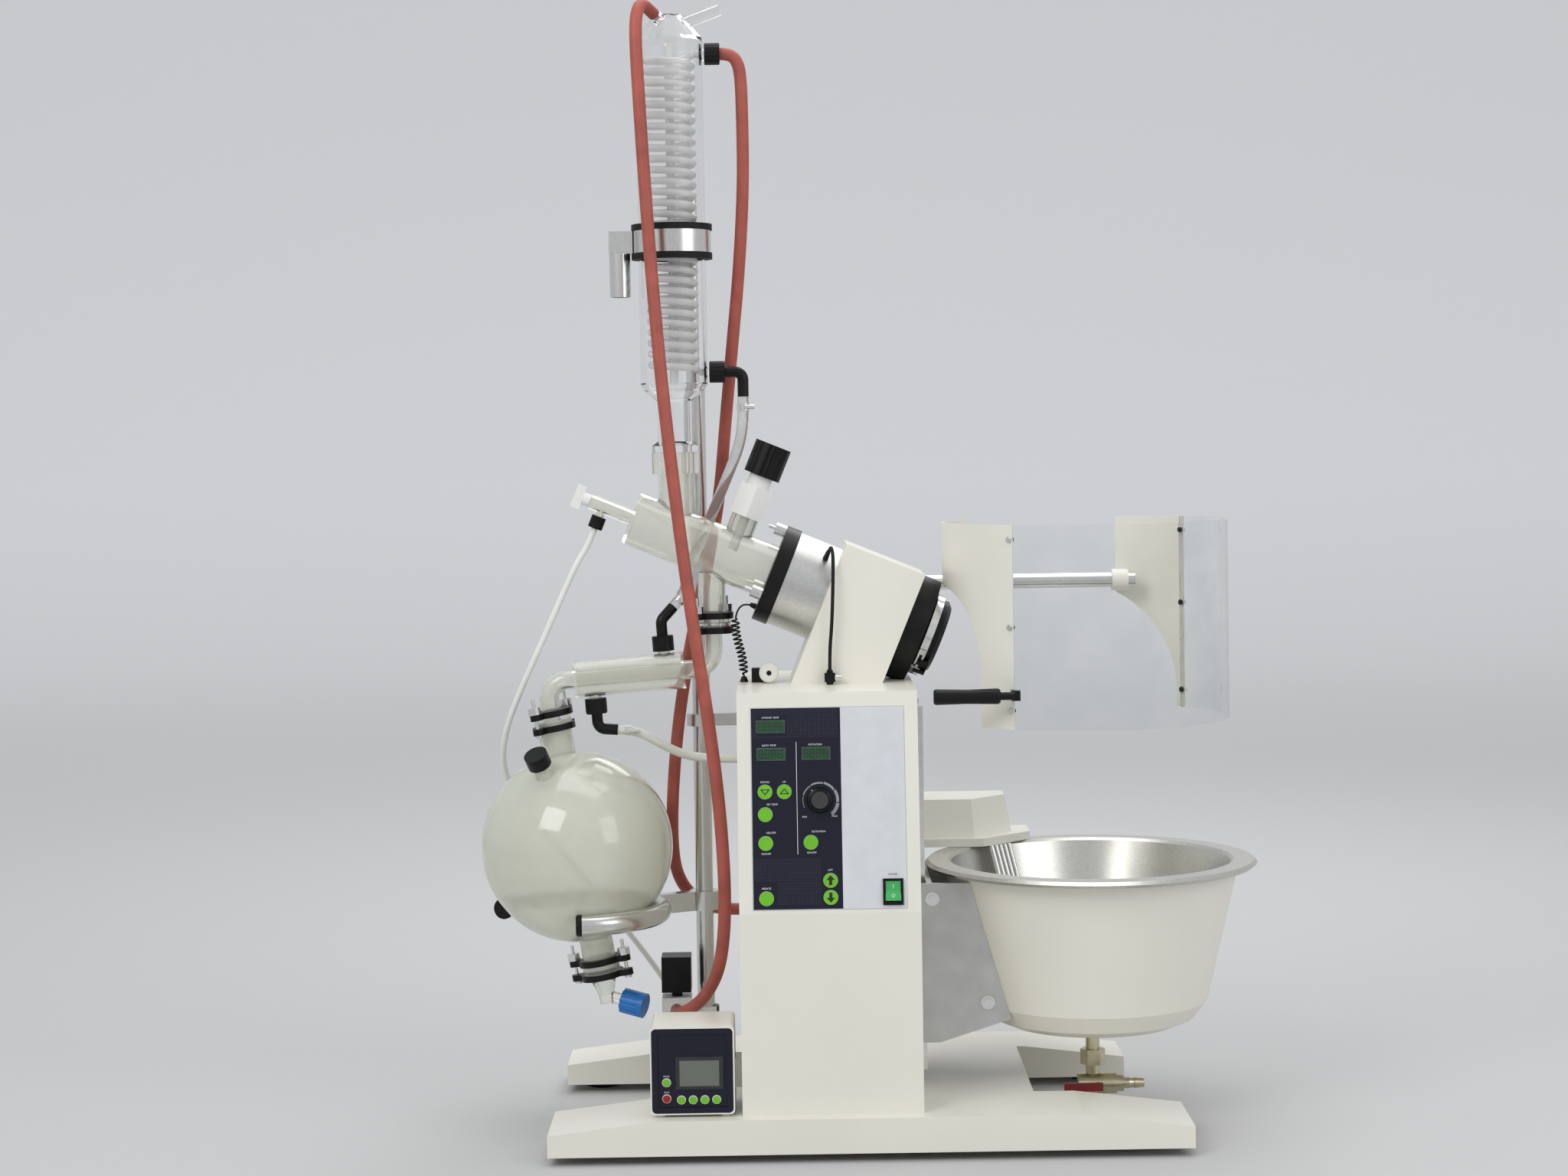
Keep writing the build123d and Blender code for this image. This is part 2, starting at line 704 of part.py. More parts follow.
def feed_valve_body():
    """White valve body on the duct's inlet neck."""
    place = inlet_place()
    body = place * Pos(0, 0, INLET_RISE) * extrude(RegularPolygon(27, 6), 46)
    stem = place * rod(INLET_RISE + 46, INLET_RISE + 62, 17)
    tube = place * rod(10, INLET_RISE, 7)
    return body + stem + tube


def feed_valve_knob():
    """Black fluted hand wheel of the feed valve."""
    low = INLET_RISE + 62 + SEAT_GAP
    body = rod(low, low + 48, 27)
    for turn in range(8):
        body -= Rot(0, 0, 45 * turn) * Pos(29, 0, 0) * rod(low, low + 48, 5)
    return inlet_place() * body


def stopcock_key():
    """Glass key with its flat handle at the duct's upper end."""
    end = -DUCT_LEN - STOPCOCK_LEN
    body = rod(end - 12, end, STOPCOCK_R - 2)
    body += Pos(0, 0, end - 18) * Box(8, 34, 14)
    return DRIVE * body


def condenser_jacket():
    """Glass jacket: neck, shoulder, long barrel and domed top."""
    wall = GLASS_WALL
    outer = [
        (JOINT_R, JOINT_Z), (JOINT_R, JOINT_Z + 10), (NECK_R, JOINT_Z + 16),
        (NECK_R, CONDENSER_BOTTOM - 14), (CONDENSER_R - 6, CONDENSER_BOTTOM),
        (CONDENSER_R, CONDENSER_BOTTOM + 10), (CONDENSER_R, CONDENSER_TOP - 10),
        (CONDENSER_R - 12, CONDENSER_TOP + 4), (18, CONDENSER_TOP + 24), (0, CONDENSER_TOP + 26),
    ]
    inner = [
        (0, CONDENSER_TOP + 26 - wall), (18 - wall / 2, CONDENSER_TOP + 24 - wall),
        (CONDENSER_R - 12 - wall, CONDENSER_TOP + 4 - wall / 2),
        (CONDENSER_R - wall, CONDENSER_TOP - 10 - wall),
        (CONDENSER_R - wall, CONDENSER_BOTTOM + 10 + wall / 2),
        (CONDENSER_R - 6 - wall, CONDENSER_BOTTOM + wall),
        (NECK_R - wall, CONDENSER_BOTTOM - 14 + wall), (NECK_R - wall, JOINT_Z),
    ]
    body = Pos(CONDENSER_X, 0, 0) * turned(outer + inner)
    for place in condenser_ports():
        body += place * rod(CONDENSER_R - wall / 2, CONDENSER_R + PORT_LEN, PORT_R)
        body -= place * rod(CONDENSER_R - 2 * wall, CONDENSER_R + PORT_LEN, PORT_R - 3)
    for top, length in ((condenser_vent(), VENT_LEN), (front_olive(), OLIVE_LEN)):
        body += top * rod(22, length, PORT_R)
        body -= top * rod(0, length, PORT_R - 3)
    return body


def condenser_ports():
    """Sideways water ports near the condenser's foot and head."""
    return [
        Plane(origin=(CONDENSER_X, 0, z), x_dir=(0, 1, 0), z_dir=(1, 0, 0)) for z in PORT_LEVELS
    ]


def condenser_vent():
    """Slanting vent on the domed top."""
    return Plane(origin=(CONDENSER_X, 0, CONDENSER_TOP + 4), x_dir=(0, 1, 0), z_dir=(0.94, 0, 0.34))


def front_olive():
    """Hose olive on the domed top, towards the front left."""
    return Plane(origin=(CONDENSER_X, 0, CONDENSER_TOP + 4), x_dir=(1, -0.6, 0), z_dir=OLIVE_DIRECTION)


def condenser_coil():
    """Cooling coil as a closed ribbed tube, with its two feeds to the ports."""
    step = (COIL_TOP - COIL_BOTTOM) / COIL_TURNS
    points = [(0, COIL_BOTTOM)]
    for turn in range(COIL_TURNS):
        low = COIL_BOTTOM + turn * step
        points += [(COIL_R - COIL_DEPTH, low), (COIL_R, low + step / 2)]
    points += [(COIL_R - COIL_DEPTH, COIL_TOP), (0, COIL_TOP)]
    body = Pos(CONDENSER_X, 0, 0) * turned(points)
    reach = CONDENSER_R - GLASS_WALL - SEAT_GAP
    for place in condenser_ports():
        body += place * rod(COIL_R - 2 * COIL_DEPTH, reach, PORT_R - 3 - SEAT_GAP)
    return body


def tube_path(points, radius):
    """Straight runs joined by one bend in the X-Z plane."""
    return FilletPolyline(*[(x, 0, z) for x, z in points], radius=radius)


def pipe(path, radius):
    """A round bar along a path."""
    return sweep(Plane(origin=path @ 0, z_dir=path % 0) * Circle(radius), path=path)


def cooler_points():
    """Receiver end, bend, cooler ends, bend and upper end of the after-cooler's inner tube."""
    rise = radians(COOLER_RISE)
    lean = radians(RECEIVER_LEAN)
    left = (COOLER_LEFT, COOLER_Z)
    right = (COOLER_LEFT + COOLER_LEN * cos(rise), COOLER_Z + COOLER_LEN * sin(rise))
    low = (
        RECEIVER_X - RECEIVER_TOP_LEN * sin(lean),
        RECEIVER_Z + RECEIVER_TOP_LEN * cos(lean),
    )
    reach = (left[1] - low[1] - (left[0] - low[0]) * tan(rise)) / (cos(lean) - sin(lean) * tan(rise))
    left_bend = (low[0] - reach * sin(lean), low[1] + reach * cos(lean))
    high = (UPPER_JOINT_X, UPPER_JOINT_Z)
    right_bend = (UPPER_JOINT_X, right[1] + (UPPER_JOINT_X - right[0]) * tan(rise))
    return low, left_bend, left, right, right_bend, high


def after_cooler():
    """Glass jacket round the tube that drops from the duct to the receiver."""
    low, left_bend, left, right, right_bend, high = cooler_points()
    bend = COOLER_TUBE_R * 2
    shell = rod(0, COOLER_LEN, COOLER_R)
    shell -= rod(GLASS_WALL, COOLER_LEN - GLASS_WALL, COOLER_R - GLASS_WALL)
    body = COOLER * shell
    body += pipe(tube_path([low, left_bend, left], bend), COOLER_TUBE_R)
    body += pipe(tube_path([right, right_bend, high], bend), COOLER_TUBE_R)
    body += COOLER * rod(0, COOLER_LEN, COOLER_TUBE_R - GLASS_WALL / 2)
    body += RECEIVER * rod(RECEIVER_TOP_LEN, RECEIVER_TOP_LEN + LIP_THICK, LIP_R)
    body += Pos(*joint_xyz(high)) * rod(-LIP_THICK, 0, LIP_R)
    for place in cooler_ports():
        body += place * rod(COOLER_R - GLASS_WALL / 2, COOLER_R + PORT_LEN, PORT_R)
        body -= place * rod(COOLER_R - 2 * GLASS_WALL, COOLER_R + PORT_LEN, PORT_R - 3)
    inner = COOLER_TUBE_R - GLASS_WALL
    body -= pipe(tube_path([low, left_bend, left], bend), inner)
    body -= COOLER * rod(0, COOLER_LEN, inner)
    return body - pipe(tube_path([right, right_bend, high], bend), inner)


def joint_xyz(point):
    """A point of the middle plane in three coordinates."""
    return (point[0], 0, point[1])


def cooler_ports():
    """Water ports: one up near the right end, one down near the left end."""
    high = COOLER * Pos(0, 0, COOLER_LEN - 28) * Rot(-90, 0, 0)
    low = COOLER * Pos(0, 0, 28) * Rot(90, 0, 0)
    return [low, high]


def side_neck():
    """Axis of the receiver's small screw neck, towards the front."""
    return Plane(origin=(RECEIVER_X, 0, RECEIVER_Z), z_dir=(-0.29, -0.5, 0.815))


def receiver_flask():
    """Round receiving flask with a top neck, a drain neck and a small screw neck."""
    wall = GLASS_WALL
    place = RECEIVER
    body = Sphere(RECEIVER_R)
    body += rod(-RECEIVER_OUTLET_LEN, RECEIVER_TOP_LEN, RECEIVER_NECK_R)
    body += rod(RECEIVER_TOP_LEN - LIP_THICK, RECEIVER_TOP_LEN, LIP_R)
    body += rod(-RECEIVER_OUTLET_LEN, -RECEIVER_OUTLET_LEN + LIP_THICK, LIP_R)
    body = place * body + side_neck() * rod(0, SIDE_NECK_LEN, SIDE_NECK_R)
    hollow = Sphere(RECEIVER_R - wall) + rod(-RECEIVER_OUTLET_LEN, RECEIVER_TOP_LEN, RECEIVER_NECK_R - wall)
    return body - place * hollow - side_neck() * rod(0, SIDE_NECK_LEN, SIDE_NECK_R - 3)


def neck_cap():
    """Black screw cap on the small neck."""
    low = SIDE_NECK_LEN - NECK_CAP_LEN + 4
    body = rod(low, SIDE_NECK_LEN + 4, NECK_CAP_R)
    return side_neck() * (body - rod(low, SIDE_NECK_LEN, SIDE_NECK_R + RUN_FIT))


def outlet_valve():
    """Glass drain valve under the receiver with its side stem."""
    top = -RECEIVER_OUTLET_LEN
    cone = turned([
        (LIP_R, top), (LIP_R, top - LIP_THICK), (22, top - LIP_THICK), (11, top - 40),
        (11, top - OUTLET_VALVE_LEN), (0, top - OUTLET_VALVE_LEN), (0, top),
    ])
    return RECEIVER * cone + stem_place() * rod(0, 26, 9)


def stem_place():
    """Axis of the drain valve's stem, to the right and a little down."""
    foot = RECEIVER.from_local_coords((0, 0, -RECEIVER_OUTLET_LEN - OUTLET_VALVE_LEN + 10))
    return Plane(origin=foot, z_dir=(0.9, -0.3, -0.2))


def drain_knob():
    """Blue fluted knob of the drain valve."""
    low = 26 + SEAT_GAP
    body = rod(low, low + DRAIN_KNOB_LEN, DRAIN_KNOB_R)
    for turn in range(10):
        body -= Rot(0, 0, 36 * turn) * Pos(DRAIN_KNOB_R + 1, 0, 0) * rod(low, low + DRAIN_KNOB_LEN - 8, 2.5)
    return stem_place() * body


def clamp_places():
    """The three bolted glass joints, each with the glass radius above and below."""
    upper = Pos(UPPER_JOINT_X, 0, UPPER_JOINT_Z) * Rot(0, 0, CLAMP_TURN)
    top = RECEIVER * Pos(0, 0, RECEIVER_TOP_LEN) * Rot(0, 0, CLAMP_TURN)
    low = RECEIVER * Pos(0, 0, -RECEIVER_OUTLET_LEN) * Rot(0, 0, -CLAMP_TURN / 3)
    return [
        (upper, OUTLET_R, COOLER_TUBE_R),
        (top, COOLER_TUBE_R, RECEIVER_NECK_R),
        (low, RECEIVER_NECK_R, 22),
    ]


def clamp_plate(bore):
    """Oval clamp plate with a screw ear at each end."""
    plate = Cylinder(CLAMP_R, CLAMP_THICK, align=LOW)
    ears = extrude(SlotOverall(2 * (CLAMP_EAR + CLAMP_EAR_R), 2 * CLAMP_EAR_R), CLAMP_THICK)
    plate += ears - Cylinder(bore, CLAMP_THICK, align=LOW)
    plate -= Cylinder(bore, CLAMP_THICK, align=LOW)
    for side in (-1, 1):
        plate -= Pos(side * CLAMP_EAR, 0, 0) * rod(0, CLAMP_THICK, CLAMP_SCREW_R + RUN_FIT)
    return plate


def joint_clamps():
    """Pairs of clamp plates at the bolted glass joints."""
    plates = [duct_flange()]
    for place, above, below in clamp_places():
        high = place * Pos(0, 0, LIP_THICK) * clamp_plate(above + SEAT_GAP)
        low = place * Pos(0, 0, -LIP_THICK - CLAMP_THICK) * clamp_plate(below + SEAT_GAP)
        plates += [high, low]
    return plates


def clamp_screws():
    """Screws with knurled nuts through the clamp plates."""
    reach = LIP_THICK + CLAMP_THICK
    screws = flange_screws()
    for place, above, below in clamp_places():
        for side in (-1, 1):
            screw = rod(-reach - 4, reach + 22, CLAMP_SCREW_R) + rod(reach, reach + 10, 9)
            screw += rod(-reach - 4, -reach, 5)
            screws.append(place * Pos(side * CLAMP_EAR, 0, 0) * screw)
    return screws


def support_pole():
    """Stainless pole from the base up past the condenser's ring."""
    return Pos(POLE_X, POLE_Y, 0) * rod(BASE_TOP, POLE_TOP, POLE_R)


def pole_boss(level, height):
    """Split boss round the pole."""
    return Pos(POLE_X, POLE_Y, level) * rod(-height / 2, height / 2, POLE_R + 9, POLE_R)


def pole_bracket():
    """Bar from the tower's side to the pole."""
    bar = block(POLE_X, TOWER_LEFT, POLE_Y - 10, POLE_Y + 10, POLE_BRACKET_Z - 9, POLE_BRACKET_Z + 9)
    bar -= Pos(POLE_X, POLE_Y, POLE_BRACKET_Z) * rod(-30, 30, POLE_R)
    return bar + pole_boss(POLE_BRACKET_Z, 18)


def cradle_radius():
    """Radius at which the cradle's tube just meets the flask."""
    reach = RECEIVER_R + CRADLE_TUBE_R + SEAT_GAP
    return sqrt(reach ** 2 - (RECEIVER_Z - CRADLE_Z) ** 2)


def receiver_cradle():
    """Open tube ring under the receiver on an arm from the pole."""
    centre = (RECEIVER_X, 0, CRADLE_Z)
    ring = pipe(CenterArc(centre, cradle_radius(), CRADLE_START, CRADLE_SWEEP), CRADLE_TUBE_R)
    reach = hypot(POLE_X - RECEIVER_X, POLE_Y)
    turn = degrees(atan2(POLE_Y, POLE_X - RECEIVER_X))
    arm = Box(reach - cradle_radius(), 18, 28, align=(Align.MIN, Align.CENTER, Align.CENTER))
    arm = Pos(*centre) * Rot(0, 0, turn) * Pos(cradle_radius(), 0, 0) * arm
    arm -= Pos(POLE_X, POLE_Y, CRADLE_Z) * rod(-30, 30, POLE_R)
    return ring + arm + pole_boss(CRADLE_Z, 28)


def condenser_ring():
    """White holding ring with its arm to the pole."""
    outer = CONDENSER_R + RING_WALL
    half = RING_HEIGHT / 2 - LINER_HEIGHT
    reach = hypot(POLE_X - CONDENSER_X, POLE_Y)
    turn = degrees(atan2(POLE_Y, POLE_X - CONDENSER_X))
    place = Pos(CONDENSER_X, 0, RING_Z)
    middle = (Align.MIN, Align.CENTER, Align.CENTER)
    arm = Pos(outer - 2, 0, 0) * Box(reach - outer, 16, 2 * half, align=middle)
    body = place * (rod(-half, half, outer, CONDENSER_R + SEAT_GAP) + Rot(0, 0, turn) * arm)
    body -= Pos(POLE_X, POLE_Y, RING_Z) * rod(-half, half, POLE_R)
    return body + pole_boss(RING_Z, 2 * half)


def ring_liners():
    """Two rubber liners over and under the holding ring."""
    half = RING_HEIGHT / 2 - LINER_HEIGHT
    place = Pos(CONDENSER_X, 0, RING_Z)
    outer = CONDENSER_R + RING_WALL + 2
    bore = CONDENSER_R + SEAT_GAP
    return [
        place * rod(half, half + LINER_HEIGHT, outer, bore),
        place * rod(-half - LINER_HEIGHT, -half, outer, bore),
    ]


def ring_stub():
    """Short steel tube on a lug at the ring's left side."""
    half = RING_HEIGHT / 2 - LINER_HEIGHT
    x = CONDENSER_X - CONDENSER_R - RING_WALL
    lug = block(x - 34, x, -12, 12, RING_Z - half, RING_Z + half)
    lug -= Pos(CONDENSER_X, 0, RING_Z) * rod(-half, half, CONDENSER_R + RING_WALL)
    tube = Pos(x - 19, 0, 0) * rod(RING_Z - half - 62, RING_Z - half, 15, 12)
    return lug + tube


def bath_radius(level):
    """Outer radius of the bath's casing at a level."""
    share = (level - BATH_BOTTOM) / (BATH_RIM_Z - RIM_THICK - BATH_BOTTOM)
    return BATH_FLOOR_R + share * (BATH_TOP_R - BATH_FLOOR_R)


def bath_casing():
    """Tapered painted casing, closed below round the drain."""
    top = BATH_RIM_Z - RIM_THICK
    wall = BATH_WALL
    corner = BATH_CORNER
    body = turned([
        (DRAIN_R + SEAT_GAP, BATH_BOTTOM), (BATH_FLOOR_R - corner, BATH_BOTTOM),
        (BATH_FLOOR_R - corner * 0.3, BATH_BOTTOM + corner * 0.3),
        (bath_radius(BATH_BOTTOM + corner), BATH_BOTTOM + corner), (BATH_TOP_R, top),
        (BATH_TOP_R - wall, top),
        (bath_radius(BATH_BOTTOM + corner) - wall, BATH_BOTTOM + corner + wall / 2),
        (BATH_FLOOR_R - corner * 0.3 - wall, BATH_BOTTOM + corner * 0.3 + wall),
        (BATH_FLOOR_R - corner, BATH_BOTTOM + wall), (DRAIN_R + SEAT_GAP, BATH_BOTTOM + wall),
    ])
    return Pos(BATH_X, 0, 0) * body


def bath_tank():
    """Stainless tank with its broad rolled rim, resting on the casing."""
    wall = TANK_WALL
    top = BATH_RIM_Z
    mouth = BATH_TOP_R - TANK_GAP / 2
    floor = BATH_BOTTOM + TANK_GAP
    foot = BATH_FLOOR_R - TANK_GAP - BATH_CORNER / 2
    body = turned([
        (DRAIN_R, floor), (foot, floor), (foot + 12, floor + 12), (mouth, top - RIM_THICK),
        (BATH_RIM_R - 5, top - RIM_THICK), (BATH_RIM_R, top - RIM_THICK / 2), (BATH_RIM_R - 5, top),
        (mouth, top), (mouth - wall - 2, top - 4), (foot + 12 - wall, floor + 12 + wall),
        (foot - wall, floor + wall), (DRAIN_R, floor + wall),
    ])
    return Pos(BATH_X, 0, 0) * body


def bath_drain():
    """Drain pipe with its union and hexagon nut."""
    low = DRAIN_VALVE_Z + DRAIN_VALVE_R
    body = rod(low, BATH_BOTTOM + TANK_GAP + TANK_WALL, DRAIN_R, DRAIN_R - 3)
    nut = extrude(RegularPolygon(DRAIN_R + 8, 6), 22) - Cylinder(DRAIN_R, 22, align=LOW)
    body += Pos(0, 0, low + 14) * nut
    return [Pos(BATH_X, 0, 0) * body, drain_valve()]


def drain_valve():
    """Ball-valve body with a hose barb towards the right."""
    place = Plane(origin=(BATH_X, 0, DRAIN_VALVE_Z), x_dir=(0, 1, 0), z_dir=(1, 0, 0))
    body = rod(-22, 34, DRAIN_VALVE_R) + rod(34, 44, DRAIN_VALVE_R - 3)
    body += turned([(0, 44), (8, 44), (8, 52), (6.5, 60), (8, 60), (6.5, 74), (0, 74)])
    return place * (body - rod(-10, 74, 4))


def drain_lever():
    """Lever of the ball valve, turning about its stem."""
    place = Pos(BATH_X + 6, -DRAIN_VALVE_R, DRAIN_VALVE_Z)
    stem = Rot(90, 0, 0) * rod(SEAT_GAP, 8, 5)
    bar = block(-50, 6, -12, -8, -6, 6)
    return place * (stem + bar)


def lift_rails():
    """Two guide rails on the tower's right side."""
    return [
        block(
            TOWER_RIGHT, TOWER_RIGHT + RAIL_DEPTH, side * RAIL_Y - RAIL_WIDTH / 2,
            side * RAIL_Y + RAIL_WIDTH / 2, RAIL_BOTTOM, RAIL_TOP,
        )
        for side in (-1, 1)
    ]


def lift_carriage():
    """Carriage plate with a shoe on each rail and a tongue to the spindle nut."""
    face = TOWER_RIGHT + RAIL_DEPTH + SEAT_GAP
    half = ARM_Y - ARM_THICK / 2
    body = block(face, face + CARRIAGE_THICK, -half, half, ARM_LOW, ARM_HIGH)
    for side in (-1, 1):
        low = side * RAIL_Y - RAIL_WIDTH / 2 - 9
        shoe = block(TOWER_RIGHT + SLIDE_GAP, face, low, low + RAIL_WIDTH + 18, ARM_LOW + 10, ARM_HIGH - 10)
        slot = RAIL_WIDTH / 2 + SEAT_GAP
        shoe -= block(
            TOWER_RIGHT, face, side * RAIL_Y - slot, side * RAIL_Y + slot, ARM_LOW, ARM_HIGH
        )
        body += shoe
    level = (ARM_LOW + ARM_HIGH) / 2
    body += block(spindle_x(), face, -TONGUE / 2, TONGUE / 2, level - 20, level + 20)
    body += Pos(spindle_x(), 0, level) * rod(-20, 20, SPINDLE_R + 10)
    return body - Pos(spindle_x(), 0, level) * rod(-20, 20, SPINDLE_R + RUN_FIT)


def spindle_x():
    """The lift spindle stands inside the tower's right wall."""
    return TOWER_RIGHT - TOWER_WALL - SPINDLE_INSET


def spindle_slot():
    """Slot in the tower's wall for the carriage tongue's whole travel."""
    level = (ARM_LOW + ARM_HIGH) / 2
    half = TONGUE / 2 + SLIDE_GAP
    return block(
        TOWER_RIGHT - 2 * TOWER_WALL, TOWER_RIGHT + TOWER_WALL, -half, half,
        level - 24, level + 24 + LIFT_TRAVEL,
    )


def lift_spindle():
    """Lead screw of the bath lift."""
    return Pos(spindle_x(), 0, 0) * rod(BASE_TOP + LIFT_MOTOR_LEN, RAIL_TOP, SPINDLE_R)


def lift_motor():
    """Geared motor standing on the base under the spindle."""
    return Pos(spindle_x(), 0, 0) * rod(BASE_TOP, BASE_TOP + LIFT_MOTOR_LEN - SEAT_GAP, LIFT_MOTOR_R)


def bath_arms():
    """Two grey side plates that carry the bath."""
    left = TOWER_RIGHT + SLIDE_GAP
    outline = [
        (left, ARM_HIGH), (BATH_X - BATH_TOP_R / 2, ARM_HIGH), (BATH_X - BATH_FLOOR_R / 2, ARM_LOW + 34),
        (BATH_X - BATH_FLOOR_R * 0.75, ARM_LOW + 34), (left + 30, ARM_LOW), (left, ARM_LOW),
    ]
    low = BATH_BOTTOM
    high = BATH_RIM_Z - RIM_THICK
    grown = turned([(0, low - 30), (BATH_FLOOR_R + SEAT_GAP, low - 30), (BATH_FLOOR_R + SEAT_GAP, low),
                    (BATH_TOP_R + SEAT_GAP, high), (0, high)])
    plates = []
    for side in (-1, 1):
        middle = side * ARM_Y
        plate = side_prism(outline, middle - ARM_THICK / 2, middle + ARM_THICK / 2)
        plates.append(plate - Pos(BATH_X, 0, 0) * grown)
    return plates


def heater_head():
    """Cream terminal housing of the heater, standing on the bath's rim at the back."""
    low = BATH_RIM_Z + SEAT_GAP
    left = TOWER_RIGHT + HEATER_CLEAR
    plan = [(left, 120), (175, 120), (250, 195), (250, 262), (left, 262)]
    plate = extrude(Pos(0, 0, low) * make_face(Polyline(*plan, close=True)), HEATER_PLATE)
    top = [(left, 134), (162, 134), (222, 194), (222, 255), (left, 255)]
    box = extrude(Pos(0, 0, low + HEATER_PLATE) * make_face(Polyline(*top, close=True)), 56, taper=10)
    return plate + box


def heater_rods():
    """Immersion heater rods that follow the tank's wall down into the bath."""
    angle = radians(HEATER_ANGLE)
    out = Vector(cos(angle), sin(angle), 0)
    side = Vector(-sin(angle), cos(angle), 0)
    top = BATH_RIM_Z + SEAT_GAP
    rods = []
    for index in range(HEATER_COUNT):
        shift = side * (index - (HEATER_COUNT - 1) / 2) * HEATER_STEP
        start = Vector(BATH_X, 0, top) + out * (BATH_TOP_R - TANK_GAP - 12) + shift
        end = Vector(BATH_X, 0, BATH_BOTTOM + 60) + out * (BATH_FLOOR_R - TANK_GAP - 24) + shift
        place = Plane(origin=start, z_dir=end - start)
        bar = place * rod(-20, (end - start).length, HEATER_R)
        rods.append(bar - block(-900, 900, -900, 900, top, top + 200))
    return rods


def branch_place():
    """Axis of the stopcock's hose branch, square to the drive axis and downward."""
    x, z = axis_point(BRANCH_AT, 0)
    low = axis_point(BRANCH_AT, -1)
    return Plane(origin=(x, 0, z), x_dir=(0, 1, 0), z_dir=(low[0] - x, 0, low[1] - z))


def elbow(start, corner, end):
    """Black hose elbow through three points."""
    return pipe(FilletPolyline(start, corner, end, radius=ELBOW_BEND), ELBOW_R)


def hose_fittings():
    """Black nuts on the glass ports, with elbows where the hoses turn."""
    pieces = []
    low_port, high_port = condenser_ports()
    cooler_low, cooler_high = cooler_ports()
    face = CONDENSER_R + 3
    grip = PORT_R + SEAT_GAP
    tip = PORT_LEN - 3
    cooler_face = COOLER_R + 3
    places = [(low_port, face), (high_port, face), (cooler_low, cooler_face), (cooler_high, cooler_face)]
    for place, start in places:
        nut = rod(start, start + NUT_LEN, NUT_R) - rod(start, start + tip, grip)
        pieces.append(place * nut)
    tip_low = low_port.from_local_coords((0, 0, face + NUT_LEN))
    pieces[0] += elbow(tip_low, tip_low + Vector(26, 0, 0), tip_low + Vector(26, 0, -36))
    tip_under = Plane(cooler_low).from_local_coords((0, 0, COOLER_R + 3 + NUT_LEN))
    pieces[2] += elbow(tip_under, tip_under + Vector(1.5, 0, -22), tip_under + Vector(30, 0, -24))
    tip_over = Plane(cooler_high).from_local_coords((0, 0, COOLER_R + 3 + NUT_LEN))
    pieces[3] += elbow(tip_over, tip_over + Vector(-1.5, 0, 22), tip_over + Vector(16, 8, 41))
    nut = rod(BRANCH_LEN - 6, BRANCH_LEN + 12, 10) - rod(BRANCH_LEN - 6, BRANCH_LEN, BRANCH_R + SEAT_GAP)
    pieces.append(branch_place() * nut)
    return pieces


def shield_ring(inner, outer, start, sweep_angle):
    """Part of an upright cylinder wall, by angle from +X."""
    ring = rod(SHIELD_BOTTOM, SHIELD_TOP, outer, inner)
    size = 3 * outer
    angles = [radians(start + sweep_angle * step / 4) for step in range(5)]
    corners = [(size * cos(angle), size * sin(angle)) for angle in angles]
    wedge = Circle(size) & make_face(Polyline((0, 0), *corners, close=True))
    sector = Pos(0, 0, SHIELD_BOTTOM) * extrude(wedge, SHIELD_TOP - SHIELD_BOTTOM)
    return Pos(SHIELD_X, 0, 0) * (ring & sector)


def shield_window():
    """Clear bent sheet round the front of the flask's place."""
    return shield_ring(SHIELD_R - SHIELD_WALL, SHIELD_R, WINDOW_START, WINDOW_SWEEP)


def shield_panels():
    """Two white end sheets with sweeping lower edges, and their hinge knuckles."""
    inner = SHIELD_R + RUN_FIT
    outer = inner + PANEL_SHEET
    left = shield_ring(inner, outer, LEFT_PANEL_START, LEFT_PANEL_SWEEP)
    knee = SHIELD_TUBE_Z - 10
    cut = Plane.YZ * make_face(
        Spline((SHIELD_R, knee + 18), (40, knee + 15), (-70, knee + 5), (LEFT_EDGE_Y, SHIELD_BOTTOM + 60))
        + Polyline(
            (LEFT_EDGE_Y, SHIELD_BOTTOM + 60), (LEFT_EDGE_Y, SHIELD_BOTTOM - 5),
            (SHIELD_R, SHIELD_BOTTOM - 5),
            (SHIELD_R, knee + 18),
        )
    )
    left -= Pos(SHIELD_X - 2 * SHIELD_R, 0, 0) * extrude(cut, 2 * SHIELD_R)
    right = shield_ring(inner, outer, RIGHT_PANEL_START, RIGHT_PANEL_SWEEP)
    edge = SHIELD_X + RIGHT_EDGE_X
    cut = Plane.XZ * make_face(
        Spline(
            (SHIELD_X, knee), (SHIELD_X + 96, knee - 30), (edge - 8, knee - 100),
            (edge, SHIELD_BOTTOM + 40),
        )
        + Polyline(
            (edge, SHIELD_BOTTOM + 40), (edge, SHIELD_BOTTOM - 5), (SHIELD_X, SHIELD_BOTTOM - 5),
            (SHIELD_X, knee),
        )
    )
    right -= Pos(0, 2 * SHIELD_R, 0) * extrude(cut, 2 * SHIELD_R)
    left_x = SHIELD_X + outer * cos(radians(LEFT_PANEL_START))
    left_y = outer * sin(radians(LEFT_PANEL_START))
    right_x = SHIELD_X + outer * cos(radians(RIGHT_PANEL_START + RIGHT_PANEL_SWEEP))
    right_y = outer * sin(radians(RIGHT_PANEL_START + RIGHT_PANEL_SWEEP))
    left += knuckle(left_x - 2, left_x + KNUCKLE_LEN - 2, left_y - 6)
    right += knuckle(right_x - KNUCKLE_LEN / 2, right_x + KNUCKLE_LEN / 2, right_y)
    return [left, right]


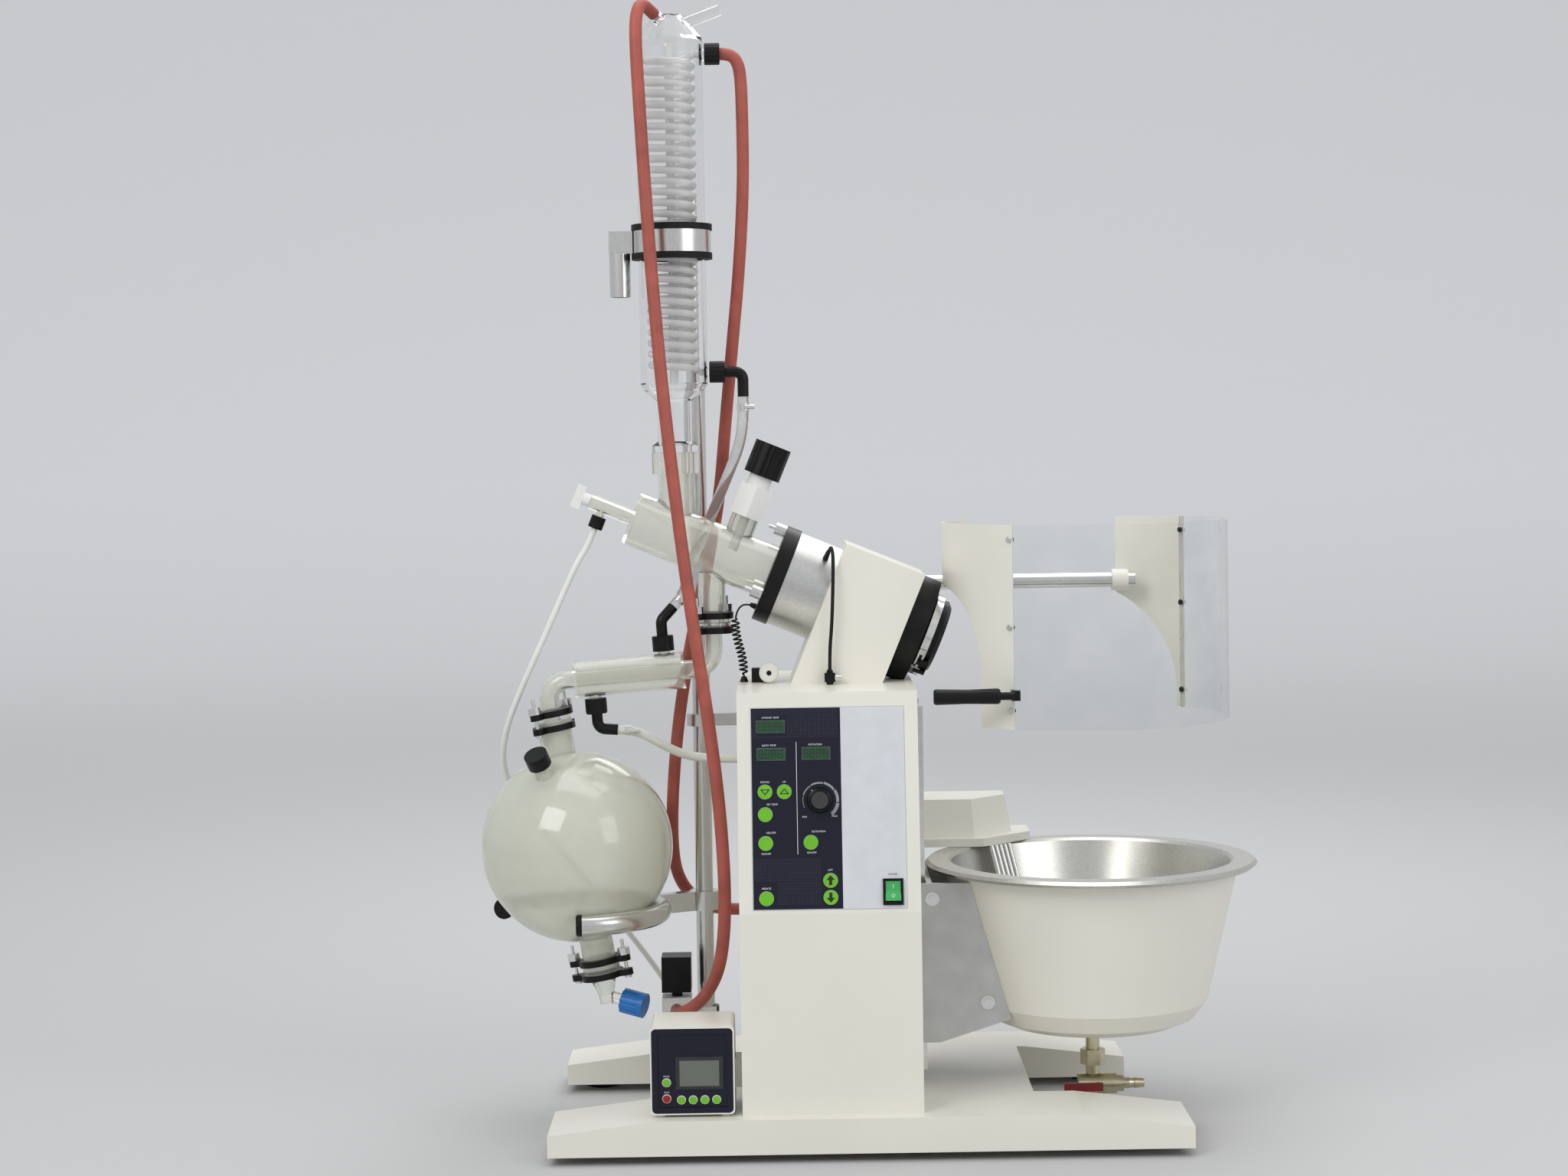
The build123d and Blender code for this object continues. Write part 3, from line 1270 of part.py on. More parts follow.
def knuckle(low, high, edge_y):
    """Hinge eye on the cross tube with a strap to a panel's edge."""
    turn = Plane(origin=(low, SHIELD_TUBE_Y, SHIELD_TUBE_Z), x_dir=(0, 1, 0), z_dir=(1, 0, 0))
    eye = turn * rod(0, high - low, SHIELD_TUBE_R + 5)
    near, far = sorted((SHIELD_TUBE_Y, edge_y))
    eye += block(low, high, near, far, SHIELD_TUBE_Z - 8, SHIELD_TUBE_Z + 8)
    return eye - turn * rod(0, high - low, SHIELD_TUBE_R + RUN_FIT)


def shield_tube():
    """Cross tube that carries the shield, on a post from the tower's back."""
    start = TOWER_RIGHT - 60
    end = SHIELD_X + SHIELD_R * cos(radians(RIGHT_PANEL_START + RIGHT_PANEL_SWEEP)) + KNUCKLE_LEN
    turn = Plane(origin=(start, SHIELD_TUBE_Y, SHIELD_TUBE_Z), x_dir=(0, 1, 0), z_dir=(1, 0, 0))
    tube = turn * rod(0, end - start, SHIELD_TUBE_R)
    post = block(
        start - 14, start + 14, SHIELD_TUBE_Y - 14, SHIELD_TUBE_Y,
        TOWER_TOP, SHIELD_TUBE_Z + SHIELD_TUBE_R + 4,
    )
    return tube + post


def shield_grip():
    """Black handle on a bolt at the shield's front left edge."""
    angle = radians(LEFT_PANEL_START + LEFT_PANEL_SWEEP - 3)
    x = SHIELD_X + (SHIELD_R + PANEL_SHEET) * cos(angle)
    y = (SHIELD_R + PANEL_SHEET) * sin(angle)
    place = Plane(origin=(x - 12 - GRIP_LEN, y - 26, GRIP_Z), x_dir=(0, 1, 0), z_dir=(1, 0, 0))
    grip = place * turned([
        (0, 0), (GRIP_R - 2, 0), (GRIP_R, 3), (GRIP_R - 1, GRIP_LEN / 2), (GRIP_R, GRIP_LEN - 3),
        (GRIP_R - 2, GRIP_LEN), (GRIP_R / 2, GRIP_LEN), (GRIP_R / 2, GRIP_LEN + 20), (0, GRIP_LEN + 20),
    ])
    lug = block(x + 4, x + 16, y - 26, y + 6, GRIP_Z - 7, GRIP_Z + 7)
    lug -= Pos(SHIELD_X, 0, 0) * rod(SHIELD_BOTTOM, SHIELD_TOP, SHIELD_R + PANEL_SHEET + RUN_FIT)
    return grip + lug


def controller_housing():
    """Small vacuum controller on the base, with a sunk face and raised keys."""
    right = TOWER_LEFT - CONTROL_GAP
    left = right - CONTROL_WIDTH
    low = BASE_TOP + CONTROL_FOOT
    front = CONTROL_FRONT
    body = block(left, right, front, front + CONTROL_DEPTH, low, low + CONTROL_HEIGHT)
    body = fillet(body.edges().filter_by(Axis.Y), CONTROL_ROUND)
    margin = CONTROL_MARGIN
    high = low + CONTROL_HEIGHT
    body -= block(left + margin, right - margin, front, front + 2, low + margin, high - margin)
    keys = [(22, 44), (22, 22), (42, 20), (58, 20), (74, 20), (90, 20)]
    for across, up in keys:
        key = Plane(origin=(left + across, front + 2, low + up), x_dir=(1, 0, 0), z_dir=(0, -1, 0))
        body += key * rod(-1, 1.5, CONTROL_KEY_R)
    body += block(left + 36, left + 98, front + 0.8, front + 3, low + 36, low + 78)
    for x in (left + 14, right - 14):
        for y in (front + 14, front + CONTROL_DEPTH - 14):
            body += Pos(x, y, 0) * rod(BASE_TOP, low + 1, 6)
    return body + block(right - 1, TOWER_LEFT, front + 30, front + 70, low + 30, low + 70)


def aerate_valve():
    """Air-inlet valve: white body, black coil block and a strap to the pole."""
    x, y = POLE_X - VALVE_OFFSET, POLE_Y - VALVE_BACK
    half = VALVE_SIZE / 2
    body = block(x - half, x + half, y - half, y + half, VALVE_Z, VALVE_Z + VALVE_HEIGHT)
    body += Pos(x, y, 0) * rod(VALVE_Z + VALVE_HEIGHT - 1, COIL_BLOCK_Z + 1, 8)
    body += block(x - half, x + half, y - half, y + half, COIL_BLOCK_Z, COIL_BLOCK_Z + COIL_BLOCK_HEIGHT)
    level = VALVE_Z + 22
    for side, size in ((-1, 9), (1, 5)):
        face = Plane(origin=(x, y + side * half, level), x_dir=(1, 0, 0), z_dir=(0, side, 0))
        body += face * rod(-1, SPIGOT_LEN, size)
    body += block(x, POLE_X, y + half - 2, POLE_Y + 6, VALVE_Z + 2, VALVE_Z + 14)
    body += Pos(POLE_X, POLE_Y, 0) * rod(VALVE_Z, VALVE_Z + 16, POLE_R + 6)
    return body - Pos(POLE_X, POLE_Y, 0) * rod(VALVE_Z, VALVE_Z + 24, POLE_R + RUN_FIT)


def cord(points, radius):
    """Limp tube through points: straight runs joined by tangent arcs."""
    points = [Vector(*point) for point in points]
    runs = [after - before for before, after in zip(points, points[1:])]
    bends = []
    for run, follow in zip(runs, runs[1:]):
        half = radians(run.get_angle(follow)) / 2
        bends.append(CORD_SHARE * min(run.length, follow.length) / tan(half))
    path = FilletPolyline(*points, radius=bends)
    print(round(path.length), "mm, bends", [round(bend) for bend in bends])
    return pipe(path, radius)


def up(share):
    """Level at a share of the condenser's jacket."""
    return CONDENSER_BOTTOM + share * (CONDENSER_TOP - CONDENSER_BOTTOM)


def red_hose_front():
    """Red hose from the condenser's olive down the front to the air valve."""
    tip = front_olive().from_local_coords((0, 0, OLIVE_LEN))
    lead = Vector(*OLIVE_DIRECTION) * 14
    x, y = POLE_X - VALVE_OFFSET, POLE_Y - VALVE_BACK - VALVE_SIZE / 2 - SPIGOT_LEN
    return cord([
        tip, tip + lead, (-304, -54, CONDENSER_TOP + 32), (-310, -66, CONDENSER_TOP + 24),
        (-313, -74, CONDENSER_TOP + 4), (-313, -79, up(0.938)), (-310, -83, up(0.806)),
        (-304, -86, up(0.577)), (-295, -90, up(0.285)), (-282, -100, 1040), (-266, -112, 890),
        (-248, -126, 745), (-228, -138, 612), (-213, -146, 490), (-206, -148, 380), (-207, -138, 300),
        (-216, -112, 236), (-236, -74, 192), (-260, -44, 166), (x, y - 36, VALVE_Z + 22),
        (x, y, VALVE_Z + 22),
    ], HOSE_R)


def red_hose_right():
    """Red hose from the condenser's upper port down behind the glass to the tower."""
    start = CONDENSER_X + CONDENSER_R + 3 + NUT_LEN
    level = PORT_LEVELS[1]
    return cord([
        (start, 0, level), (start + 15, 0, level), (start + 26, 1, level - 12),
        (start + 30, 3, level - 36), (-166, 6, up(0.751)), (-166, 12, up(0.577)), (-174, 22, up(0.344)),
        (-186, 34, up(0.13)), (-198, 52, 1010), (-208, 80, 910), (-220, 80, 840), (-238, 64, 760),
        (-258, 62, 670), (-275, 66, 570), (-285, 74, 470),
        (-288, 92, 396), (-284, 112, 340), (-264, 128, 304), (-236, 135, 285), (TOWER_LEFT - 26, 136, 280),
        (TOWER_LEFT, 136, 280),
    ], HOSE_R)


def braided_hose():
    """Clear hose from the condenser's lower port to the after-cooler's upper port."""
    low_port, cooler_high = condenser_ports()[0], cooler_ports()[1]
    top = low_port.from_local_coords((0, 0, CONDENSER_R + 3 + NUT_LEN)) + Vector(26, 0, -36)
    end = Plane(cooler_high).from_local_coords((0, 0, COOLER_R + 3 + NUT_LEN)) + Vector(16, 8, 41)
    return cord([
        top, top + Vector(0, 0, -34), (-178, 20, 972), (-196, 44, 930), (-214, 54, 888), (-234, 58, 842),
        (-254, 44, 798), end + Vector(17.5, 8, 19), end,
    ], BRAID_R)


def cooler_hose():
    """Thin hose from the after-cooler's lower port to the tower."""
    low = Plane(cooler_ports()[0]).from_local_coords((0, 0, COOLER_R + 3 + NUT_LEN)) + Vector(30, 0, -24)
    return cord([
        low, low + Vector(28.5, 0, -2), (-302, 6, 546), (-268, 20, 526), (TOWER_LEFT - 42, 32, 518),
        (TOWER_LEFT, 32, 518),
    ], THIN_HOSE_R)


def feed_tube():
    """White tube from the stopcock's branch round the receiver to the air valve."""
    start = branch_place().from_local_coords((0, 0, BRANCH_LEN + 12))
    x, y = POLE_X - VALVE_OFFSET, POLE_Y - VALVE_BACK + VALVE_SIZE / 2 + SPIGOT_LEN
    return cord([
        start, branch_place().from_local_coords((0, 0, BRANCH_LEN + 42)), (-414, 0, 810),
        (-442, 0, 750), (-472, 2, 684), (-502, 14, 622), (-526, 36, 564),
        (-536, 74, 512), (-524, 118, 464), (-492, 152, 412), (-448, 170, 352), (-398, 172, 292),
        (-350, 162, 232), (-318, 154, 190), (x - 12, y + 46, VALVE_Z + 32),
        (x, y + 26, VALVE_Z + 22), (x, y, VALVE_Z + 22),
    ], FEED_TUBE_R)


def sensor_cable():
    """Black lead from the drive ring, over its front and down to the tower's top."""
    turn = Plane(DRIVE * Pos(0, 0, LEAD_AT) * Rot(0, 0, LEAD_TURN))
    start = turn.from_local_coords((DRIVE_RING_R, 0, 0))
    return cord([
        start, turn.from_local_coords((DRIVE_RING_R + 18, 0, 0)), (-49, -79, 829), (-47, -92, 820),
        (-47, -97, 800), (-48, -99, 766), (-50, -99, 720), (-54, -97, 680), (-54, -97, TOWER_TOP),
    ], LEAD_R)


def coil_cord():
    """Coiled lead from the duct's clamp ring to the tower's top, as its sleeve."""
    x, z = axis_point(-FLANGE_LEN, -COIL_CORD_DROP)
    near_x, near_z = axis_point(-FLANGE_LEN - 18, -COIL_CORD_DROP)
    y = COIL_CORD_Y
    return cord([
        (x, y, z), (near_x, y, near_z), (-185, y, 738), (-188, y, 718), (-185, y, 696), (-178, y, 672),
        (-176, y, TOWER_TOP + 18), (-176, y, TOWER_TOP),
    ], COIL_CORD_R)


def main():
    """Builds every piece and writes one file for each."""
    pieces = [
        base, base_feet, tower_housing, control_panel,
        speed_knob, rocker_switch, head_cover, drive_ring,
        coupling_guard, shaft_bearings, hollow_shaft, flask_clamp, drive_pulley,
        motor_pulley, drive_motor, drive_belt, vapour_duct,
        feed_valve_body, feed_valve_knob, stopcock_key, condenser_jacket,
        condenser_coil, after_cooler, receiver_flask, neck_cap, outlet_valve, drain_knob,
        joint_clamps, clamp_screws, support_pole, pole_bracket, receiver_cradle,
        condenser_ring, ring_liners, ring_stub, bath_casing, bath_tank, bath_drain,
        drain_lever, lift_rails, lift_carriage, lift_spindle, lift_motor,
        bath_arms, heater_head, heater_rods, hose_fittings, shield_window, shield_panels,
        shield_tube, shield_grip, controller_housing, aerate_valve, red_hose_front,
        red_hose_right, braided_hose, cooler_hose, feed_tube, sensor_cable, coil_cord,
    ]
    os.makedirs("parts", exist_ok=True)
    for piece in pieces:
        shape = piece()
        if isinstance(shape, list):
            shape = Compound(shape)
        export_step(shape, f"parts/{piece.__name__}.step")


main()
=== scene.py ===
import json
import math

import bmesh
import bpy
from mathutils import Matrix, Vector


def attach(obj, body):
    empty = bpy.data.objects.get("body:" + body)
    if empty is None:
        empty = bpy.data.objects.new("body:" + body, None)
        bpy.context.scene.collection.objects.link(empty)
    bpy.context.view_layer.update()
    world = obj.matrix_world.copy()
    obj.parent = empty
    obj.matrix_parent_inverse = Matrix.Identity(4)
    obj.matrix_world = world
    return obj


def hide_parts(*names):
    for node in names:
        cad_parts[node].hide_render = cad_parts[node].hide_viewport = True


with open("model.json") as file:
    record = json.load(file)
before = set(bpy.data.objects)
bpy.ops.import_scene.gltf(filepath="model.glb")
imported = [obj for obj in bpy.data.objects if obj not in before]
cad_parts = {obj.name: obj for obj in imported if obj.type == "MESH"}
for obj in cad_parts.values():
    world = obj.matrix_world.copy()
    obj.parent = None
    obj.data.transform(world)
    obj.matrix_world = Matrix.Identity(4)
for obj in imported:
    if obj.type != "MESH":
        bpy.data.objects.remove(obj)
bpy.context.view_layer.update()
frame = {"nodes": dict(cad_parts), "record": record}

MM = 0.001

# Camera, from the photograph's perspective: place in metres, angles in degrees
CAMERA_AT = (-0.1165, -4.115, 0.986)
CAMERA_LENS = 65.55
CAMERA_SENSOR = 36
CAMERA_TILT = 2.1
CAMERA_ROLL = -0.912
CAMERA_SHIFT = (0.0004, -0.03)

# Stage, in metres: floor, backdrop and sky, then each lamp's place, aim, size and power
STAGE_FRONT = -9.0
STAGE_BACK = 10.0
STAGE_CURVE = 3.0
STAGE_STEPS = 12
STAGE_TOP = 9.0
STAGE_SIDE = 13
FLOOR_ROUGH = 0.75
FLOOR_FADE = (0.5, STAGE_BACK - 1)
FLOOR_NEAR = (0.52, 0.52, 0.52, 1)
FLOOR_FAR = (0.93, 0.93, 0.94, 1)
SKY_COLOR = (0.86, 0.88, 0.90, 1)
SKY_STRENGTH = 0.72
LAMPS = (
    ("key", (-2.4, -3.2, 3.4), (0, 0, 0.8), 2.2, 66),
    ("fill", (2.9, -2.6, 2.2), (0.1, 0, 0.7), 2.4, 32),
    ("top", (0.1, 0.3, 3.6), (0, 0, 0.6), 2.6, 38),
    ("rim", (0.6, 2.4, 2.9), (0, 0, 0.9), 1.6, 20),
)

# How finely things are drawn
TUBE_ROUND = 5
TUBE_STEPS = 10
ROUND_SIDES = 28
RIB_STEPS = 4
RIB_DEPTH = 0.92
LEVEL = 0.01
LATHE_STEPS = 72
KEY_STEPS = 48
ARC_STEPS = 12
SHARP_ANGLE = math.radians(32)
LETTER_SCALE = 1.35
LETTER_THICK = 0.00004

# Colour noise: where it turns from dark to light. Relief: scale, strength and depth
NOISE_LOW = 0.3
NOISE_HIGH = 0.7
FINE_RELIEF = (320.0, 0.06, 0.0004)
GLASS_RELIEF = (60.0, 0.02, 0.0003)

# From here on lengths are in millimetres. Cooling coil in the condenser
CONDENSER_X = -270.0
COIL_R = 33.0
COIL_LOW = 1084.0
COIL_HIGH = 1534.0
COIL_TURNS = 29
COIL_STEPS = 16
COIL_TUBE = 10.4
COIL_FEED = ((40, 0, 1080), (36, -8, 1081))
COIL_RETURN = ((38, -4, 1535), (42, 0, 1535))
CORE_TUBE = 13
CORE_POINTS = ((0, 0, 1062), (1, 0, 1200), (0, 0, 1400), (0, 0, 1555))

# Air valve: height where its black block starts, and the back of its body
VALVE_SPLIT = 167.0
VALVE_BODY_BACK = 84.0

# Drive axis with its flask clamp, and the bright band round it
HEAD_AT = (-116.5, 0.0, 782.0)
HEAD_FALL = math.radians(22.5)
CLAMP_START = 214.0
CLAMP_R = 60.0
BAND_LOW = CLAMP_START + 2.5
BAND_HIGH = CLAMP_START + 13.0
BAND_IN = CLAMP_R - 6
BAND_OUT = CLAMP_R + 0.6
LATCH_ALONG = CLAMP_START + 7.5

# Curly lead
CURL_R = 5.5
CURL_WIRE = 2.6
CURL_TURNS = 13
CURL_STEPS = 12
CURL_GROW = 10
CURL_LEAD = 42.0
CURL_LEAD_POINTS = 6
CURL_TAIL = 10.0

# Ribbed nuts and hose bands: start, end and radius. Boots of the leads: also the radius of the tip
NUTS = (
    ((-218.6, 0, 1535), (-198, 0, 1535), 15.6), ((-218.6, 0, 1080), (-198, 0, 1080), 15.6),
    ((-391.5, 0, 611.6), (-390.2, 0, 592), 15.6), ((-291.9, 0, 679.4), (-293.3, 0, 700), 15.6),
    ((-381.6, 0, 873.8), (-388, 0, 858.2), 10.6),
)
NUT_RIBS = 16
BANDS = (
    ((-171, 0.2, 1034), (-171, 0.2, 1024), 9.2), ((-266, 13, 754), (-271, 11, 748.5), 9.2),
    ((-350, 0, 565.4), (-341, 0, 564.8), 7.6),
)
BAND_SCREW_R = 3.2
BAND_SCREW_SPAN = (2, 16)
BAND_SCREW_OUT = 1.5
BOOTS = (
    ("lead_boot_high", (-57.4, -48.2, 809.6), (-52.6, -60.8, 821.2), 4.4, 3.2),
    ("lead_boot_low", (-54, -97, 635.2), (-54, -97, 657), 5.2, 3.4),
    ("coil_boot_low", (-176, -30, 635), (-176, -30, 643), 6.4, 3.4),
    ("coil_boot_high", (-157.2, -30, 742.6), (-166, -30, 746.2), 4.6, 2.8),
)

# Splash shield's screws: angle of each panel and heights. Head and nut: distance out of both ends, radius
SHIELD_X = 318
SHIELD_SCREWS = ((233.5, (838, 716, 600)), (39.0, (838, 730, 600)))
SHIELD_HEAD = (206, 208.6, 4.2)
SHIELD_NUT = (201, 198, 4.0)

# Bath arms' screws, and the flask cradle's ends: angle and the way round
ARM_SIDE = 107
ARM_SCREWS = ((85.5, 330), (162.5, 182))
FLASK_X = -421.5
CRADLE_R = 119.3
CRADLE_Z = 302
CRADLE_ENDS = ((-86, 1), (160, -1))
CRADLE_CAP_R = 15.4


def node(tree, kind, **values):
    """Adds one shader node and sets its inputs by name."""
    made = tree.nodes.new(kind)
    for name, value in values.items():
        if name in made.inputs:
            made.inputs[name].default_value = value
        else:
            setattr(made, name, value)
    return made


def new_material(name):
    """Empty node material with its principled shader."""
    material = bpy.data.materials.new(name)
    material.use_nodes = True
    return material, material.node_tree, material.node_tree.nodes["Principled BSDF"]


def shade(color, factor):
    """A colour made lighter or darker, with its alpha."""
    return (*[min(1.0, part * factor) for part in color], 1.0)


def noise_color(tree, shader, color, scale, spread, stretch=(1, 1, 1), detail=4.0):
    """Colour that varies a little over the surface, in the object's own space."""
    coordinates = tree.nodes.new("ShaderNodeTexCoord")
    mapping = node(tree, "ShaderNodeMapping", Scale=stretch)
    tree.links.new(coordinates.outputs["Object"], mapping.inputs["Vector"])
    noise = node(tree, "ShaderNodeTexNoise", Scale=scale, Detail=detail)
    tree.links.new(mapping.outputs["Vector"], noise.inputs["Vector"])
    ramp = tree.nodes.new("ShaderNodeValToRGB")
    ramp.color_ramp.elements[0].position = NOISE_LOW
    ramp.color_ramp.elements[1].position = NOISE_HIGH
    ramp.color_ramp.elements[0].color = shade(color, 1 - spread)
    ramp.color_ramp.elements[1].color = shade(color, 1 + spread)
    tree.links.new(noise.outputs["Fac"], ramp.inputs["Fac"])
    tree.links.new(ramp.outputs["Color"], shader.inputs["Base Color"])
    return mapping


def add_bump(tree, shader, mapping, scale, strength, distance):
    """Fine surface relief."""
    noise = node(tree, "ShaderNodeTexNoise", Scale=scale, Detail=2.0)
    tree.links.new(mapping.outputs["Vector"], noise.inputs["Vector"])
    bump = node(tree, "ShaderNodeBump", Strength=strength, Distance=distance)
    tree.links.new(noise.outputs["Fac"], bump.inputs["Height"])
    tree.links.new(bump.outputs["Normal"], shader.inputs["Normal"])


def surface(
    name, color, rough, metallic=0.0, scale=9.0, spread=0.05, stretch=(1, 1, 1), bump=FINE_RELIEF,
    coat=0.0, specular=0.5,
):
    """Opaque material: base colour with cloudy variation, gloss and fine relief."""
    material, tree, shader = new_material(name)
    shader.inputs["Roughness"].default_value = rough
    shader.inputs["Metallic"].default_value = metallic
    shader.inputs["Specular IOR Level"].default_value = specular
    shader.inputs["Coat Weight"].default_value = coat
    mapping = noise_color(tree, shader, color, scale, spread, stretch)
    if bump:
        add_bump(tree, shader, mapping, *bump)
    return material


def clear(name, color, rough, ior=1.47, scale=14.0, spread=0.04, weight=1.0):
    """Glass or clear plastic with faint streaks in its colour."""
    material, tree, shader = new_material(name)
    shader.inputs["Roughness"].default_value = rough
    shader.inputs["IOR"].default_value = ior
    shader.inputs["Transmission Weight"].default_value = weight
    mapping = noise_color(tree, shader, color, scale, spread)
    add_bump(tree, shader, mapping, *GLASS_RELIEF)
    return material


CREAM = surface(
    "cream_paint", (0.80, 0.78, 0.70), 0.38, scale=6.0, spread=0.02, bump=(420.0, 0.05, 0.0003), coat=0.15,
)
ALUMINIUM = surface("aluminium", (0.62, 0.62, 0.60), 0.32, 1.0, 120.0, 0.10, (1, 8, 8))
STEEL = surface("stainless", (0.66, 0.66, 0.64), 0.24, 1.0, 140.0, 0.09, (8, 8, 0.6))
TANK_STEEL = surface("tank_steel", (0.62, 0.61, 0.57), 0.28, 1.0, 60.0, 0.10, (3, 3, 14))
BRIGHT = surface("bright_steel", (0.74, 0.74, 0.73), 0.16, 1.0, 90.0, 0.06)
BRASS = surface("brass_nickel", (0.62, 0.56, 0.40), 0.30, 1.0, 60.0, 0.12)
BLACK = surface(
    "black_plastic", (0.006, 0.006, 0.0065), 0.34, scale=40.0, spread=0.25, bump=(700.0, 0.12, 0.0003),
    specular=0.22,
)
RUBBER = surface("black_rubber", (0.008, 0.008, 0.008), 0.62, scale=50.0, spread=0.30, specular=0.25)
RED = surface("red_rubber", (0.38, 0.082, 0.058), 0.52, scale=30.0, spread=0.16)
FOIL = surface("panel_foil", (0.66, 0.68, 0.71), 0.42, scale=40.0, spread=0.04)
NAVY = surface("panel_navy", (0.010, 0.011, 0.024), 0.36, scale=900.0, spread=0.25, specular=0.25)
GREEN = surface("green_plastic", (0.05, 0.40, 0.10), 0.30, scale=40.0, spread=0.12)
COATED = clear("coated_glass", (0.985, 0.985, 0.925), 0.06, spread=0.015, weight=0.86)
MILKY = clear("milky_glass", (0.955, 0.965, 0.87), 0.07, scale=5.0, spread=0.012, weight=0.66)
GLASS = clear("clear_glass", (0.99, 0.99, 0.99), 0.02, 1.22)
ACRYLIC = clear("clear_acrylic", (0.955, 0.97, 0.975), 0.02, 1.2)
PTFE = surface("white_ptfe", (0.84, 0.84, 0.81), 0.42, scale=25.0, spread=0.03)
BLUE = surface("blue_plastic", (0.012, 0.18, 0.56), 0.36, scale=30.0, spread=0.15)
GREY = surface("grey_casting", (0.50, 0.505, 0.50), 0.48, 0.4, 30.0, 0.08)
BRAID = clear("braided_pvc", (0.86, 0.88, 0.86), 0.25, 1.35, 200.0, 0.12, 0.8)
LEVER = surface("red_lever", (0.22, 0.020, 0.022), 0.40, scale=30.0, spread=0.15)
DOTS = surface("print_dots", (0.035, 0.040, 0.065), 0.4, scale=60.0, spread=0.2, bump=None)
WHITE_INK = surface("white_ink", (0.74, 0.75, 0.76), 0.5, scale=60.0, spread=0.04, bump=None)
INK = surface("black_ink", (0.012, 0.014, 0.014), 0.5, scale=60.0, spread=0.2, bump=None)
KEY_GREEN = surface(
    "key_green", (0.15, 0.50, 0.012), 0.36, scale=40.0, spread=0.06, bump=(260.0, 0.05, 0.0002),
)
DISPLAY = surface(
    "display_green", (0.004, 0.055, 0.018), 0.12, scale=90.0, spread=0.25, bump=None, coat=0.5,
)
SEGMENT = surface("display_segment", (0.003, 0.032, 0.012), 0.2, scale=90.0, spread=0.2, bump=None)
SCALE_GREY = surface("scale_grey", (0.30, 0.31, 0.33), 0.45, scale=60.0, spread=0.08, bump=None)
KNOB_GREY = surface("knob_grey", (0.035, 0.035, 0.037), 0.42, scale=300.0, spread=0.2)
LCD_FRAME = surface("lcd_frame", (0.02, 0.022, 0.026), 0.3, scale=60.0, spread=0.2, bump=None)
LCD = surface("lcd_grey", (0.13, 0.145, 0.12), 0.18, scale=30.0, spread=0.05, bump=None, coat=0.4)
KEY_RED = surface("key_red", (0.30, 0.008, 0.008), 0.36, scale=40.0, spread=0.08, bump=None)
COIL_GLASS = clear("coil_glass", (0.985, 0.985, 0.975), 0.08, 1.18, 20.0, 0.01, 0.40)
SILICONE = surface("white_silicone", (0.74, 0.74, 0.68), 0.40, scale=30.0, spread=0.04)

LOOKS = {
    "cream_paint": CREAM, "aluminium": ALUMINIUM, "stainless": STEEL, "bright_steel": BRIGHT,
    "brass_nickel": BRASS, "black_plastic": BLACK, "black_rubber": RUBBER, "red_rubber": RED,
    "panel_foil": FOIL, "green_plastic": GREEN, "coated_glass": COATED, "clear_glass": GLASS,
    "clear_acrylic": ACRYLIC, "white_ptfe": PTFE, "blue_plastic": BLUE, "grey_casting": GREY,
    "braided_pvc": BRAID, "red_lever": LEVER,
}
SPECIAL = {"bath_tank": TANK_STEEL, "receiver_flask": MILKY}


def dress_nodes():
    """Gives every CAD node its look, by the record's slots."""
    slots = {part["node"]: part["material_slot"] for part in frame["record"]["subparts"]}
    for name, slot_name in slots.items():
        mesh = frame["nodes"][name].data
        look = SPECIAL.get(name, LOOKS[slot_name])
        if not mesh.materials:
            mesh.materials.append(look)
        for index in range(len(mesh.materials)):
            mesh.materials[index] = look
    two_tone_valve()


def two_tone_valve():
    """White body under the black coil block of the air valve, and its black strap."""
    mesh = frame["nodes"]["aerate_valve"].data
    mesh.materials.append(PTFE)
    white = len(mesh.materials) - 1
    for face in mesh.polygons:
        low = face.center.z < VALVE_SPLIT * MM
        if low and face.center.y < VALVE_BODY_BACK * MM:
            face.material_index = white


def cord_curve(name, points, diameter, look):
    """Smooth tube with the route's points, in millimetres, as its control points."""
    data = bpy.data.curves.new(name, "CURVE")
    data.dimensions = "3D"
    data.bevel_depth = diameter * MM / 2
    data.bevel_resolution = TUBE_ROUND
    data.resolution_u = TUBE_STEPS
    data.use_fill_caps = True
    spline = data.splines.new("NURBS")
    spline.points.add(len(points) - 1)
    for place, point in zip(spline.points, points):
        place.co = (*[value * MM for value in point], 1.0)
    spline.order_u = 3
    spline.use_endpoint_u = True
    data.materials.append(look)
    made = bpy.data.objects.new(name, data)
    bpy.context.collection.objects.link(made)
    return made


def route_line(points):
    """Points along the smooth line of a route, in millimetres."""
    guide = cord_curve("route", points, 0, RUBBER)
    guide.data.use_fill_caps = False
    bpy.context.view_layer.update()
    mesh = bpy.data.meshes.new_from_object(guide)
    line = [vert.co / MM for vert in mesh.vertices]
    bpy.data.objects.remove(guide)
    bpy.data.meshes.remove(mesh)
    return line


def line_length(line):
    """Length of a line of points."""
    return sum((after - before).length for before, after in zip(line, line[1:]))


def point_at(line, distance):
    """Point on a line at a distance from its start."""
    for before, after in zip(line, line[1:]):
        step = (after - before).length
        if distance <= step:
            return before.lerp(after, max(0.0, distance) / step)
        distance -= step
    return line[-1]


